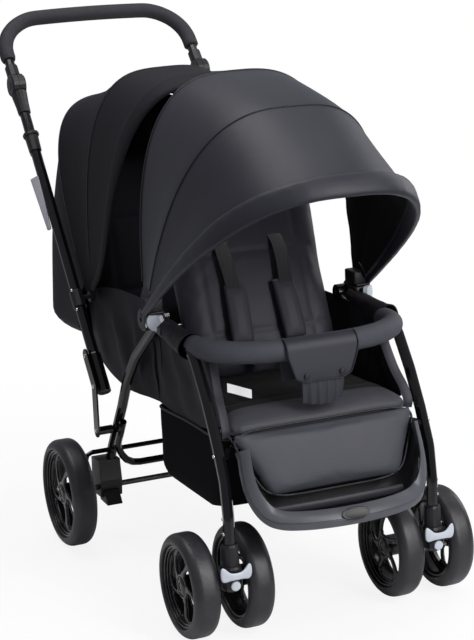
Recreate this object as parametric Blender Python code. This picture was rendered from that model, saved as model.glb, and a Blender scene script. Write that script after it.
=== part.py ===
# Tandem double stroller: two seats one behind the other on a folding tube frame.
# Metres, +Z up. The stroller faces -Y, X = 0 is its plane of symmetry, and z = 0 is the ground.
# Lengths along the stroller are measured from the front axle; Y_FRONT_AXLE moves them to the origin,
# which lies under the middle of the whole stroller.
import math

import bmesh
import bpy
from mathutils import Matrix, Vector

# Overall layout
Y_FRONT_AXLE = -0.3994
WHEELBASE = 0.500
CLEAR = 0.0003
RUN_CLEAR = 0.0006

# Wheels
FRONT_WHEEL_R = 0.0825
REAR_WHEEL_R = 0.095
TYRE_WIDTH = 0.044
TYRE_DEPTH = 0.017
WHEEL_SEGMENTS = 24
SPOKES = 5
FRONT_AXLE_R = 0.005
REAR_AXLE_R = 0.005
TWIN_GAP = 0.046

# Frame planes, measured from the middle of the stroller; the front legs set the width of the rest
FRONT_LEG_X = 0.1755
REAR_LEG_X = FRONT_LEG_X - 0.0125
PUSH_TUBE_X = FRONT_LEG_X + 0.0095
SEAT_RAIL_X = FRONT_LEG_X - 0.0415
REAR_WHEEL_X = REAR_LEG_X + 0.0795
LEG_R = 0.0090
PUSH_TUBE_R = 0.0095
RAIL_R = 0.0070
TUBE_SIDES = 10

# Side hub, where the arm, the rear leg and the front canopy meet
HUB_Y = 0.212
HUB_Z = 0.458
HUB_R = 0.019
HUB_INNER_X = FRONT_LEG_X - 0.0010
HUB_OUTER_X = FRONT_LEG_X + 0.0215
PIVOT_PIN_R = 0.0040
PIVOT_PIN_LENGTH = 0.0230
CANOPY_PIN_DEEP = 0.0120

# Front leg and caster
ARM_END_Y = 0.1840
CASTER_TRAIL = 0.058
LEG_FOOT_Z = 0.140
COLLAR_TOP_Z = 0.160
COLLAR_BOTTOM_Z = 0.126
COLLAR_R = 0.0145
CASTER_HEAD_R = 0.0175
CASTER_HEAD_BOTTOM_Z = 0.086
CASTER_WEB = 0.020

# Bumper bar
BUMPER_R = 0.0175
BUMPER_Z = HUB_Z - 0.021
BUMPER_FRONT_Y = -0.026
BUMPER_CORNER_Y = 0.024
BUMPER_BACK_Y = 0.062

# The front leg's line as (y, z): the arm, the bend by the bumper and the leg down to the caster
FRONT_LEG_LINE = (
    (ARM_END_Y, HUB_Z - 0.0055),
    (BUMPER_BACK_Y - 0.010, BUMPER_Z),
    (0.005, BUMPER_Z - 0.067),
    (-0.026, BUMPER_Z - 0.123),
    (CASTER_TRAIL * -0.9, COLLAR_TOP_Z + 0.096),
    (-CASTER_TRAIL - 0.002, COLLAR_TOP_Z + 0.040),
    (-CASTER_TRAIL, LEG_FOOT_Z),
)

# Rear frame
REAR_AXLE_HALF = REAR_WHEEL_X + 0.0110
REAR_BRACKET_INNER_X = REAR_LEG_X - 0.0130
REAR_BRACKET_OUTER_X = REAR_LEG_X + 0.0270
CROSS_TUBE_R = 0.0065
CROSS_TUBE_Z = REAR_WHEEL_R + 0.042
BRAKE_R = 0.0045
BRAKE_ARM_X = REAR_LEG_X + 0.0410
BRAKE_RISE = 0.059
BRAKE_BACK = 0.020

# The rear leg's line as (y, z), each y a share of the way from the hub back to the rear axle
REAR_RUN = WHEELBASE - HUB_Y
REAR_LEG_LINE = (
    (HUB_Y, HUB_Z),
    (HUB_Y + REAR_RUN * 0.1667, HUB_Z - 0.036),
    (HUB_Y + REAR_RUN * 0.4306, HUB_Z - 0.091),
    (HUB_Y + REAR_RUN * 0.6042, HUB_Z - 0.144),
    (HUB_Y + REAR_RUN * 0.7222, HUB_Z - 0.199),
    (HUB_Y + REAR_RUN * 0.9583, REAR_WHEEL_R + 0.069),
    (HUB_Y + REAR_RUN * 1.0278, REAR_WHEEL_R + 0.023),
)
SHIN_TOP, SHIN_FOOT = REAR_LEG_LINE[4:6]

# Fold joint at the foot of the push tube
FOLD_Y = WHEELBASE - 0.047
FOLD_Z = 0.292
SLEEVE_R = 0.0120
SLEEVE_LENGTH = 0.075
FOLD_PLATE_X = PUSH_TUBE_X + 0.0135
FOLD_PLATE_THICK = 0.0030
FOLD_PLATE_WIDTH = 0.022
FOLD_PIN_R = 0.0040
FOLD_FOOT = ((SHIN_TOP[0] + SHIN_FOOT[0]) / 2, (SHIN_TOP[1] + SHIN_FOOT[1]) / 2)

# Handle
KNOB_Y = FOLD_Y + 0.382
KNOB_Z = FOLD_Z + 0.490
KNOB_R = 0.0215
KNOB_HALF_THICK = 0.0130
HANDLE_PITCH = math.radians(48.7)
HANDLE_LENGTH = 0.150
HANDLE_TUBE_R = 0.0090
HANDLE_BEND = HANDLE_LENGTH * 0.52
FOAM_R = 0.0135
FOAM_START = HANDLE_LENGTH * 0.387
BUTTON_R = 0.0075
BUTTON_TRAVEL = 0.0030
SOCKET_LENGTH = 0.062

# Release slider on the push tube
SLIDER_AT = 0.477
SLIDER_LENGTH = 0.038
SLIDER_R = 0.0135
LOOP_REACH = 0.0245

# Footrest tray
TRAY_FRONT_Y = -0.124
TRAY_BACK_Y = -0.070
TRAY_FLOOR_Z = 0.172
TRAY_WALL = 0.004
TRAY_HALF = FRONT_LEG_X - 0.0255
TRAY_RIM = 0.028

# Seats
SEAT_HALF = FRONT_LEG_X - 0.0350
SEAT_BOTTOM_Z = 0.3135
SEAT_THICK = 0.032
SEAT_FRONT_Y = -0.030
SEAT_BACK_Y = 0.300
WING_THICK = 0.006
WING_TOP_Z = 0.418
FRONT_RECLINE_Y = 0.170
FRONT_RECLINE_Z = 0.3433
FRONT_BACK_PITCH = math.radians(67)
FRONT_BACK_LENGTH = 0.335
BACK_THICK = 0.026
BACK_HALF = SEAT_HALF - 0.0105
BACK_CROWN = 0.004
REAR_SEAT_FRONT_Y = 0.325
REAR_SEAT_BACK_Y = 0.628
REAR_RECLINE_Y = 0.6127
REAR_RECLINE_Z = 0.3404
REAR_BACK_PITCH = math.radians(76)
REAR_BACK_LENGTH = 0.340
REAR_WING_TOP_Z = WING_TOP_Z + 0.042
CURTAIN_THICK = 0.0040
CURTAIN_FOOT = 0.090
CURTAIN_SIDE_Y = REAR_RECLINE_Y + 0.0030
CURTAIN_BACK_Y = REAR_RECLINE_Y + 0.1780
CURTAIN_LOW_Z = REAR_RECLINE_Z + 0.0350
CALF_HINGE_Y = -0.0364
CALF_HINGE_Z = 0.3240
CALF_LENGTH = 0.105
CALF_THICK = 0.013
CALF_PITCH = math.radians(-112)
CALF_HALF = SEAT_HALF + 0.0005

# Canopies: each bow is its angle above the horizontal behind the hub, its height and half width
CANOPY_THICK = 0.0030
FRONT_BOW = 0.381
FRONT_CANOPY_HALF = FRONT_LEG_X + 0.0150
FRONT_REAR_BOW = (math.radians(86.0), FRONT_BOW, FRONT_CANOPY_HALF - 0.0015, 2.90)
FRONT_MIDDLE_BOW = (math.radians(117.3), FRONT_BOW + 0.0030, FRONT_CANOPY_HALF, 2.80)
FRONT_LAST_BOW = (math.radians(143.0), FRONT_BOW + 0.0375, FRONT_CANOPY_HALF, 2.85)
FRONT_RIM_BOW = (math.radians(145.4), FRONT_BOW + 0.0435, FRONT_CANOPY_HALF + 0.0065, 2.85)
REAR_HUB_Y = FOLD_Y + 0.099
REAR_HUB_Z = FOLD_Z + 0.138
REAR_HUB_R = 0.0100
REAR_BOW = 0.387
REAR_CANOPY_HALF = PUSH_TUBE_X - 0.0205
REAR_REAR_BOW = (math.radians(59.0), REAR_BOW, REAR_CANOPY_HALF, 3.10)
REAR_MIDDLE_BOW = (math.radians(97.0), REAR_BOW + 0.0120, REAR_CANOPY_HALF, 3.10)
REAR_LAST_BOW = (math.radians(113.0), REAR_BOW + 0.0335, REAR_CANOPY_HALF, 3.10)
REAR_RIM_BOW = (math.radians(115.0), REAR_BOW + 0.0395, REAR_CANOPY_HALF + 0.0043, 3.10)
RIM_HALF = 0.018
RIM_DEPTH = 0.005
RIM_DISC_R = 0.027
REAR_BRACKET_LINE = (PUSH_TUBE_X - 0.0275, PUSH_TUBE_X - 0.0193, PUSH_TUBE_X - 0.0127, PUSH_TUBE_X - 0.0098)
SAG = 0.010
CURTAIN_BOW = (REAR_REAR_BOW[0], REAR_BOW - 0.0050, REAR_CANOPY_HALF - 0.0050, REAR_REAR_BOW[3])

# Basket
BASKET_HALF = SEAT_HALF + 0.0040
BASKET_FRONT_Y = 0.026
BASKET_BACK_Y = 0.302
BASKET_FLOOR_Z = 0.1735
BASKET_WALL = 0.0040
BASKET_BACK_TOP_Z = 0.2450


def at(x, y, z):
    """A point from its distance behind the front axle."""
    return Vector((x, y + Y_FRONT_AXLE, z))


def material(name, colour, roughness, metallic=0.0):
    """A plain surface of one colour."""
    made = bpy.data.materials.new(name)
    made.use_nodes = True
    shader = made.node_tree.nodes["Principled BSDF"]
    shader.inputs["Base Color"].default_value = (*colour, 1.0)
    shader.inputs["Roughness"].default_value = roughness
    shader.inputs["Metallic"].default_value = metallic
    return made


def place(name, bm, surface, pivot=None, sharp=35.0):
    """Turn a mesh in world coordinates into a named object whose origin is its pivot."""
    bmesh.ops.remove_doubles(bm, verts=bm.verts, dist=0.00002)
    bmesh.ops.recalc_face_normals(bm, faces=bm.faces)
    origin = pivot or Vector((0, 0, 0))
    bmesh.ops.translate(bm, verts=bm.verts, vec=-origin)
    mesh = bpy.data.meshes.new(name)
    bm.to_mesh(mesh)
    bm.free()
    mesh.materials.append(surface)
    mesh.shade_smooth()
    mesh.set_sharp_from_angle(angle=math.radians(sharp))
    made = bpy.data.objects.new(name, mesh)
    made.location = origin
    bpy.context.scene.collection.objects.link(made)
    return made


def boolean(target, tools, operation):
    """Join tools to a target or cut them from it, and remove the tools."""
    for tool in tools:
        step = target.modifiers.new("shape", "BOOLEAN")
        step.operation = operation
        step.solver = "EXACT"
        step.object = tool
    bpy.context.view_layer.update()
    graph = bpy.context.evaluated_depsgraph_get()
    mesh = bpy.data.meshes.new_from_object(target.evaluated_get(graph))
    target.modifiers.clear()
    target.data = mesh
    for tool in tools:
        bpy.data.objects.remove(tool)
    return target


def rounded(points, bend, steps=4):
    """A polyline with each inner corner turned into an arc of the given radius."""
    points = [Vector(p) for p in points]
    path = [points[0]]
    last_corner = len(points) - 3
    for index, (before, corner, after) in enumerate(zip(points, points[1:], points[2:])):
        a, b = (before - corner), (after - corner)
        half = a.angle(b) / 2
        room = min(a.length * (0.48 if index else 0.96), b.length * (0.48 if index < last_corner else 0.96))
        reach = min(bend / math.tan(half), room)
        radius = reach * math.tan(half)
        centre = corner + (a.normalized() + b.normalized()).normalized() * (radius / math.sin(half))
        first = corner + a.normalized() * reach - centre
        last = corner + b.normalized() * reach - centre
        for i in range(steps + 1):
            path.append(centre + first.slerp(last, i / steps).normalized() * radius)
    return path + [points[-1]]


def frames(path):
    """Two axes square to a path at each of its points, turned as little as possible."""
    tangents = []
    for i, point in enumerate(path):
        before, after = path[max(i - 1, 0)], path[min(i + 1, len(path) - 1)]
        tangents.append((after - before).normalized())
    side = tangents[0].orthogonal().normalized()
    if abs(tangents[0].x) < 0.9:
        side = (Vector((1, 0, 0)) - tangents[0] * tangents[0].x).normalized()
    result = []
    for tangent in tangents:
        side = (side - tangent * side.dot(tangent)).normalized()
        result.append((side, tangent.cross(side).normalized()))
    return result


def tube(path, radius, sides=TUBE_SIDES, bore=None, squash=1.0):
    """A round bar along a path, or a sleeve where a bore is given. The radius may be a list."""
    path = [Vector(p) for p in path]
    radii = radius if isinstance(radius, list) else [radius] * len(path)
    bm = bmesh.new()

    def rings(sizes):
        made = []
        for point, (u, v), size in zip(path, frames(path), sizes):
            ring = []
            for k in range(sides):
                turn = math.tau * (k + 0.5) / sides
                ring.append(bm.verts.new(point + size * (u * math.cos(turn) * squash + v * math.sin(turn))))
            made.append(ring)
        for a, b in zip(made, made[1:]):
            for k in range(sides):
                bm.faces.new((a[k], a[(k + 1) % sides], b[(k + 1) % sides], b[k]))
        return made

    outer = rings(radii)
    if bore is None:
        bm.faces.new(outer[0])
        bm.faces.new(outer[-1])
    else:
        inner = rings([bore] * len(path))
        for a, b in ((outer[0], inner[0]), (outer[-1], inner[-1])):
            for k in range(sides):
                bm.faces.new((a[k], a[(k + 1) % sides], b[(k + 1) % sides], b[k]))
    return bm


def lathe(profile, origin, axis, segments=24, closed=False):
    """Turn a profile of (distance along the axis, radius) about an axis. Closed leaves a hole."""
    axis = Vector(axis).normalized()
    side = axis.orthogonal().normalized()
    if abs(axis.x) > 0.9:
        side = Vector((0, 0, -1))
    other = axis.cross(side)
    bm = bmesh.new()
    rings = []
    for along, radius in profile:
        base = Vector(origin) + axis * along
        if radius < 1e-6:
            rings.append([bm.verts.new(base)])
            continue
        ring = []
        for k in range(segments):
            turn = math.tau * k / segments
            ring.append(bm.verts.new(base + radius * (side * math.cos(turn) + other * math.sin(turn))))
        rings.append(ring)
    pairs = list(zip(rings, rings[1:]))
    if closed:
        pairs.append((rings[-1], rings[0]))
    for a, b in pairs:
        for k in range(segments):
            corners = [a[k % len(a)], a[(k + 1) % len(a)], b[(k + 1) % len(b)], b[k % len(b)]]
            unique = list(dict.fromkeys(corners))
            if len(unique) > 2:
                bm.faces.new(unique)
    return bm


def slab(outline, low_x, high_x):
    """A plate square to X with the given outline of (y, z) points."""
    bm = bmesh.new()
    sides = [[bm.verts.new(at(x, y, z)) for y, z in outline] for x in (low_x, high_x)]
    count = len(outline)
    bm.faces.new(sides[0])
    bm.faces.new(sides[1])
    for k in range(count):
        bm.faces.new((sides[0][k], sides[0][(k + 1) % count], sides[1][(k + 1) % count], sides[1][k]))
    return bm


def capsule(start, end, radius, steps=5):
    """The outline of a bar with round ends, in the (y, z) plane."""
    heading = math.atan2(end[1] - start[1], end[0] - start[0])
    outline = []
    for centre, first in ((end, -math.pi / 2), (start, math.pi / 2)):
        for k in range(steps + 1):
            turn = heading + first + math.pi * k / steps
            outline.append((centre[0] + radius * math.cos(turn), centre[1] + radius * math.sin(turn)))
    return outline


def block(low, high, bevel=0.0):
    """A box between two corners given from the front axle, with rounded edges."""
    bm = bmesh.new()
    bmesh.ops.create_cube(bm, size=1.0)
    a, b = at(*low), at(*high)
    size = b - a
    bmesh.ops.scale(bm, vec=(abs(size.x), abs(size.y), abs(size.z)), verts=bm.verts)
    bmesh.ops.translate(bm, vec=(a + b) / 2, verts=bm.verts)
    if bevel:
        bmesh.ops.bevel(bm, geom=bm.edges[:], offset=bevel, segments=2, profile=0.5, affect="EDGES")
    return bm


def power(value, exponent):
    """A signed power, for rounded outlines."""
    return math.copysign(abs(value) ** exponent, value)


def cushion(half, length, thick, crown, channels=(), rows=14, columns=10, corner=5.0, root=0.0):
    """A stuffed pad lying in its own frame: x across, y along from 0, z up from its flat back.
    Its face is crowned, its edges are drawn in and sewn channels run across it."""
    bm = bmesh.new()
    face, back = [], []
    for j in range(rows + 1):
        v = -math.cos(math.pi * j / rows)
        top, bottom = [], []
        for i in range(columns + 1):
            u = -math.cos(math.pi * i / columns)
            shrink = (1 - 0.045 * abs(v) ** corner) * (1 - root * max(0.0, v))
            x = half * u * shrink
            y = length * (0.5 + 0.5 * v * (1 - 0.030 * abs(u) ** corner))
            edge = max(0.0, 1 - abs(u) ** 6) ** 0.5 * max(0.0, 1 - abs(v) ** 6) ** 0.5
            swell = thick * (0.34 + 0.66 * edge) + crown * (1 - u * u) * (1 - v * v)
            for place_v in channels:
                swell -= 0.18 * thick * edge * math.exp(-(((v - place_v) / 0.06) ** 2))
            top.append(bm.verts.new((x, y, swell)))
            inset = 0.0 if 0 < i < columns and 0 < j < rows else 0.12 * thick
            bottom.append(bm.verts.new((x * (1 - inset / half), y, 0.0)))
        face.append(top)
        back.append(bottom)
    for j in range(rows):
        for i in range(columns):
            bm.faces.new((face[j][i], face[j][i + 1], face[j + 1][i + 1], face[j + 1][i]))
            bm.faces.new((back[j][i], back[j + 1][i], back[j + 1][i + 1], back[j][i + 1]))
    ring = [(0, i) for i in range(columns)] + [(j, columns) for j in range(rows)]
    ring += [(rows, i) for i in range(columns, 0, -1)] + [(j, 0) for j in range(rows, 0, -1)]
    for (j, i), (m, n) in zip(ring, ring[1:] + ring[:1]):
        bm.faces.new((face[j][i], back[j][i], back[m][n], face[m][n]))
    return bm


def tip(bm, hinge, pitch, setback):
    """Stand a pad that lies flat up from its hinge, its face forward, at a pitch behind the horizontal."""
    bmesh.ops.translate(bm, verts=bm.verts, vec=(0, 0, -setback))
    turn = Matrix.Rotation(pitch, 4, "X")
    bmesh.ops.transform(bm, matrix=Matrix.Translation(hinge) @ turn, verts=bm.verts)
    return bm


def bow_point(hub, bow, turn):
    """A point of a canopy bow, where turn runs from 0 at the right end to pi at the left end."""
    pitch, height, half, square = bow
    across = power(math.cos(turn), 2 / square)
    up = height * abs(math.sin(turn)) ** (2 / square)
    return at(-half * across, hub[0] + up * math.cos(pitch), hub[1] + up * math.sin(pitch))


def start_turn(bow, foot):
    """The turn at which a bow leaves its hub."""
    return math.asin((foot / bow[1]) ** (bow[3] / 2))


def shade(name, surface, hub, bows, foot, splits=3, around=20):
    """The cloth between canopy bows: one thin curved sheet that sags between them."""
    bm = bmesh.new()
    grid = []
    strips = []
    for first, second in zip(bows, bows[1:]):
        for k in range(splits):
            strips.append((first, second, k / splits))
    strips.append((bows[-2], bows[-1], 1.0))
    for first, second, share in strips:
        bow = tuple(a + (b - a) * share for a, b in zip(first, second))
        sag = SAG * math.sin(math.pi * share)
        begin = start_turn(bow, foot)
        row = []
        for k in range(around + 1):
            turn = begin + (math.pi - 2 * begin) * k / around
            dip = sag * math.sin(turn) ** 0.5
            slack = (bow[0], bow[1] - dip, bow[2] - 0.5 * dip, bow[3])
            row.append(bm.verts.new(bow_point(hub, slack, turn)))
        grid.append(row)
    for a, b in zip(grid, grid[1:]):
        for k in range(around):
            bm.faces.new((a[k], a[k + 1], b[k + 1], b[k]))
    bmesh.ops.recalc_face_normals(bm, faces=bm.faces)
    centre = at(0, *hub)
    if sum((f.calc_center_median() - centre).dot(f.normal) for f in bm.faces) < 0:
        bmesh.ops.reverse_faces(bm, faces=bm.faces)
    outer = [[(vert.co.copy(), vert.normal.copy()) for vert in row] for row in grid]
    bm.free()
    bm = bmesh.new()
    skins = []
    for depth in (0.0, CANOPY_THICK):
        skins.append([[bm.verts.new(co - normal * depth) for co, normal in row] for row in outer])
    rows = len(outer) - 1
    for skin in skins:
        for j in range(rows):
            for k in range(around):
                bm.faces.new((skin[j][k], skin[j][k + 1], skin[j + 1][k + 1], skin[j + 1][k]))
    edge = [(0, k) for k in range(around)] + [(j, around) for j in range(rows)]
    edge += [(rows, k) for k in range(around, 0, -1)] + [(j, 0) for j in range(rows, 0, -1)]
    for (j, k), (m, n) in zip(edge, edge[1:] + edge[:1]):
        bm.faces.new((skins[0][j][k], skins[0][m][n], skins[1][m][n], skins[1][j][k]))
    return place(name, bm, surface, centre, sharp=50)


def rim(name, surface, hub, bow, foot, disc, pin_end=None, around=22, sides=6):
    """The padded front bow of a canopy. Its ends are discs that turn about the hub, on a pin or round one."""
    bm = bmesh.new()
    begin = start_turn(bow, foot)
    path = []
    for k in range(around + 1):
        path.append(bow_point(hub, bow, begin + (math.pi - 2 * begin) * k / around))
    forward = Vector((0, -math.sin(bow[0]), math.cos(bow[0])))
    rings = []
    for k, point in enumerate(path):
        before, after = path[max(k - 1, 0)], path[min(k + 1, around)]
        outward = (after - before).cross(forward).normalized()
        grow = min(1.0, 0.30 + 2.6 * min(k, around - k) / around)
        ring = []
        for s in range(sides):
            turn = math.tau * (s + 0.5) / sides
            across = forward * RIM_HALF * grow * power(math.cos(turn), 0.8)
            deep = outward * RIM_DEPTH * (0.45 + 0.55 * grow) * power(math.sin(turn), 0.9)
            ring.append(bm.verts.new(point + across + deep))
        rings.append(ring)
    for a, b in zip(rings, rings[1:]):
        for s in range(sides):
            bm.faces.new((a[s], a[(s + 1) % sides], b[(s + 1) % sides], b[s]))
    bm.faces.new(rings[0])
    bm.faces.new(rings[-1])
    made = place(name, bm, surface, at(0, *hub), sharp=50)
    for side in (-1, 1):
        profile = [(disc[0], RIM_DISC_R), (disc[1], RIM_DISC_R), (disc[1], 0)]
        if pin_end is None:
            profile = [(disc[0], PIVOT_PIN_R + CLEAR)] + profile[:2] + [(disc[1], PIVOT_PIN_R + CLEAR)]
            end = lathe(profile, at(0, *hub), (side, 0, 0), 16, closed=True)
        else:
            profile = [(pin_end, 0), (pin_end, PIVOT_PIN_R), (disc[0], PIVOT_PIN_R)] + profile
            end = lathe(profile, at(0, *hub), (side, 0, 0), 16)
        boolean(made, [place("end", end, surface)], "UNION")
    return made


def tyre(name, radius, centre, surface):
    """A soft tyre with a rounded tread, open where it sits on its rim."""
    half = TYRE_WIDTH / 2
    seat = radius - TYRE_DEPTH
    profile = [(-half * 0.62, seat), (-half * 0.97, seat + 0.005), (-half * 0.90, radius - 0.004)]
    profile += [(-half * 0.45, radius), (half * 0.45, radius), (half * 0.90, radius - 0.004)]
    profile += [(half * 0.97, seat + 0.005), (half * 0.62, seat)]
    bm = lathe(profile, centre, (1, 0, 0), WHEEL_SEGMENTS, closed=True)
    return place(name, bm, surface, centre)


def spoke_window(radius, inner, outer, first, width, lean, centre, reach):
    """A cutter for the gap between two swirled spokes."""
    outline = []
    steps = 2
    for side in (0, 1):
        for k in range(steps + 1):
            share = k / steps if side == 0 else 1 - k / steps
            ring = inner + (outer - inner) * share
            open_width = width * (0.42 + 0.58 * share)
            edge = -open_width / 2 if side == 0 else open_width / 2
            turn = first + lean * share ** 1.4 + edge
            outline.append((ring * math.cos(turn), ring * math.sin(turn)))
    bm = bmesh.new()
    ends = []
    for x in (-reach, reach):
        ends.append([bm.verts.new(centre + Vector((x, y, z))) for y, z in outline])
    count = len(outline)
    bm.faces.new(ends[0])
    bm.faces.new(ends[1])
    for k in range(count):
        bm.faces.new((ends[0][k], ends[0][(k + 1) % count], ends[1][(k + 1) % count], ends[1][k]))
    return bm


def wheel_rim(name, radius, bore, depth, outward, centre, surface):
    """A moulded rim with swirled spokes and a hub bored from its inner side."""
    edge = radius - TYRE_DEPTH - CLEAR
    half = TYRE_WIDTH / 2
    lip = edge - 0.0085
    hub = 0.0150
    s = outward
    inner_face = -s * half * 0.92
    profile = [(s * half * 0.72, 0.0), (s * half * 0.72, hub * 0.85), (s * 0.0050, hub + 0.005)]
    profile += [(s * 0.0030, lip), (s * half * 0.60, edge), (-s * half * 0.60, edge), (-s * 0.0060, lip)]
    profile += [(-s * 0.0050, hub + 0.005), (inner_face, hub * 0.9), (inner_face, bore)]
    profile += [(inner_face + s * depth, bore), (inner_face + s * depth, 0.0)]
    made = place(name, lathe(profile, centre, (1, 0, 0), WHEEL_SEGMENTS), surface, centre)
    for k in range(SPOKES):
        first = math.tau * (k + 0.25) / SPOKES
        bm = spoke_window(radius, hub + 0.006, lip - 0.0025, first, 0.86, 0.55, centre, 0.012)
        boolean(made, [place("window", bm, surface)], "DIFFERENCE")
    return made


def side_name(side):
    """The occupant's right is -X."""
    return "left" if side > 0 else "right"


def clear_scene():
    """Start from nothing."""
    for old in list(bpy.data.objects):
        bpy.data.objects.remove(old)


clear_scene()

# Surfaces
FRAME = material("frame_black", (0.016, 0.016, 0.018), 0.28, 0.35)
PLASTIC = material("plastic_black", (0.022, 0.022, 0.024), 0.45)
GLOSS = material("gloss_black", (0.012, 0.012, 0.013), 0.15)
GREY = material("trim_grey", (0.42, 0.44, 0.46), 0.40, 0.2)
RUBBER = material("tyre_rubber", (0.020, 0.020, 0.021), 0.70)
FOAM = material("grip_foam", (0.026, 0.026, 0.029), 0.90)
CANOPY = material("canopy_cloth", (0.055, 0.056, 0.062), 0.62)
SEAT = material("seat_cloth", (0.050, 0.052, 0.058), 0.75)
DARK = material("black_cloth", (0.016, 0.016, 0.018), 0.85)
TRAY = material("tray_plastic", (0.060, 0.062, 0.068), 0.40)
STEEL = material("axle_steel", (0.030, 0.030, 0.032), 0.35, 0.8)


def front_leg(side):
    """The arm runs forward from the hub, turns at the bumper and comes down to the caster."""
    return rounded([at(side * FRONT_LEG_X, y, z) for y, z in FRONT_LEG_LINE], 0.050, 3)


def make_front_leg(side):
    bm = tube(front_leg(side), LEG_R)
    pivot = at(side * FRONT_LEG_X, HUB_Y, HUB_Z)
    return place("front_leg_" + side_name(side), bm, FRAME, pivot)


def make_side_hub(side):
    """A round housing with a collar that grips the arm."""
    arm = front_leg(side)
    centre = at(0, HUB_Y, HUB_Z)
    low = HUB_INNER_X - PIVOT_PIN_LENGTH
    profile = [(low, 0), (low, PIVOT_PIN_R), (HUB_INNER_X, PIVOT_PIN_R), (HUB_INNER_X, HUB_R)]
    profile += [(HUB_OUTER_X - 0.003, HUB_R), (HUB_OUTER_X, HUB_R - 0.003), (HUB_OUTER_X, PIVOT_PIN_R + CLEAR)]
    profile += [(HUB_OUTER_X - CANOPY_PIN_DEEP, PIVOT_PIN_R + CLEAR), (HUB_OUTER_X - CANOPY_PIN_DEEP, 0)]
    hub = place("side_hub_" + side_name(side), lathe(profile, centre, (side, 0, 0), 16), PLASTIC)
    along = (arm[1] - arm[0]).normalized()
    begin = arm[0] - along * 0.0125
    collar = place("collar", tube([begin, arm[0] + along * 0.034], LEG_R + 0.005), PLASTIC)
    boolean(hub, [collar], "UNION")
    bore = place("bore", tube([arm[0] - along * CLEAR, arm[0] + along * 0.060], LEG_R + CLEAR), PLASTIC)
    return boolean(hub, [bore], "DIFFERENCE")


def make_caster(side):
    """A collar on the leg, a swivelling head with its web and axle, and the lever that locks it."""
    name = side_name(side)
    x = side * FRONT_LEG_X
    y = -CASTER_TRAIL
    foot = at(x, y, 0)
    bore_r = LEG_R + CLEAR
    up = (0, 0, 1)
    profile = [(COLLAR_BOTTOM_Z, 0), (COLLAR_BOTTOM_Z, COLLAR_R), (COLLAR_TOP_Z - 0.004, COLLAR_R - 0.001)]
    profile += [(COLLAR_TOP_Z, COLLAR_R - 0.003), (COLLAR_TOP_Z, bore_r), (LEG_FOOT_Z - CLEAR, bore_r)]
    profile += [(LEG_FOOT_Z - CLEAR, 0)]
    collar = place("caster_collar_" + name, lathe(profile, foot, up, 16), PLASTIC)
    room = place("room", tube(front_leg(side)[-6:], bore_r), PLASTIC)
    boolean(collar, [room], "DIFFERENCE")

    top = COLLAR_BOTTOM_Z - CLEAR
    bottom = CASTER_HEAD_BOTTOM_Z
    profile = [(bottom, 0), (bottom, CASTER_HEAD_R * 0.72), (bottom + 0.006, CASTER_HEAD_R)]
    profile += [(top - 0.004, CASTER_HEAD_R), (top, CASTER_HEAD_R - 0.002), (top, 0)]
    pivot = at(x, y, FRONT_WHEEL_R)
    fork = place("caster_fork_" + name, lathe(profile, foot, up, 16), PLASTIC, pivot)
    arm = [(y - 0.004, 0.120), (y + 0.020, 0.120), (0.014, FRONT_WHEEL_R + 0.012)]
    arm += [(0.013, FRONT_WHEEL_R - 0.010), (-0.002, FRONT_WHEEL_R - 0.015), (y + 0.010, 0.089), (y - 0.004, 0.089)]
    web = place("web", slab(arm, x - CASTER_WEB / 2, x + CASTER_WEB / 2), PLASTIC)
    reach = TWIN_GAP / 2 + TYRE_WIDTH * 0.80
    axle = place("axle", tube([at(x - reach, 0, FRONT_WHEEL_R), at(x + reach, 0, FRONT_WHEEL_R)], FRONT_AXLE_R, 12), STEEL)
    boss = TWIN_GAP / 2 - CLEAR + TYRE_WIDTH * 0.04
    hub = place("hub", tube([at(x - boss, 0, FRONT_WHEEL_R), at(x + boss, 0, FRONT_WHEEL_R)], 0.011, 12), PLASTIC)
    boolean(fork, [web, hub, axle], "UNION")

    lever_y = y - CASTER_HEAD_R - CLEAR
    lever_z = 0.1175
    lever = []
    for k in range(9):
        share = -1 + 2 * k / 8
        lever.append(at(x + 0.0185 * share, lever_y - 0.0045 + 0.0005 * share * share, lever_z + 0.004 * share * share))
    width = [0.0028, 0.0042, 0.0050, 0.0054, 0.0056, 0.0054, 0.0050, 0.0042, 0.0028]
    bm = tube(lever, [w * 0.78 for w in width], 8)
    place("swivel_lock_" + name, bm, GREY, at(x, lever_y - 0.004, lever_z))

    for part, offset in (("outer", 1), ("inner", -1)):
        centre = at(x + side * offset * (TWIN_GAP + TYRE_WIDTH) / 2, 0, FRONT_WHEEL_R)
        label = "front_%s_%s_" % (name, part)
        tyre(label + "tyre", FRONT_WHEEL_R, centre, RUBBER)
        depth = TYRE_WIDTH * 0.80
        wheel_rim(label + "rim", FRONT_WHEEL_R, FRONT_AXLE_R + CLEAR, depth, side * offset, centre, GLOSS)


def rear_leg(side):
    """The rear leg curves down and back from the hub to the rear axle."""
    return rounded([at(side * REAR_LEG_X, y, z) for y, z in REAR_LEG_LINE], 0.090, 2)


def make_rear_leg(side):
    """The leg ends in a round eye that turns on the hub."""
    leg = place("rear_leg_" + side_name(side), tube(rear_leg(side), LEG_R), FRAME, at(side * REAR_LEG_X, HUB_Y, HUB_Z))
    middle = at(side * REAR_LEG_X, HUB_Y, HUB_Z)
    span = Vector((LEG_R + 0.0015, 0, 0))
    eye = place("eye", tube([middle - span, middle + span], 0.0135, 16), FRAME)
    boolean(leg, [eye], "UNION")
    hole = place("hole", tube([middle - 2 * span, middle + 2 * span], PIVOT_PIN_R + CLEAR, 16), FRAME)
    return boolean(leg, [hole], "DIFFERENCE")


def rear_axle_line(half):
    return [at(-half, WHEELBASE, REAR_WHEEL_R), at(half, WHEELBASE, REAR_WHEEL_R)]


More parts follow.
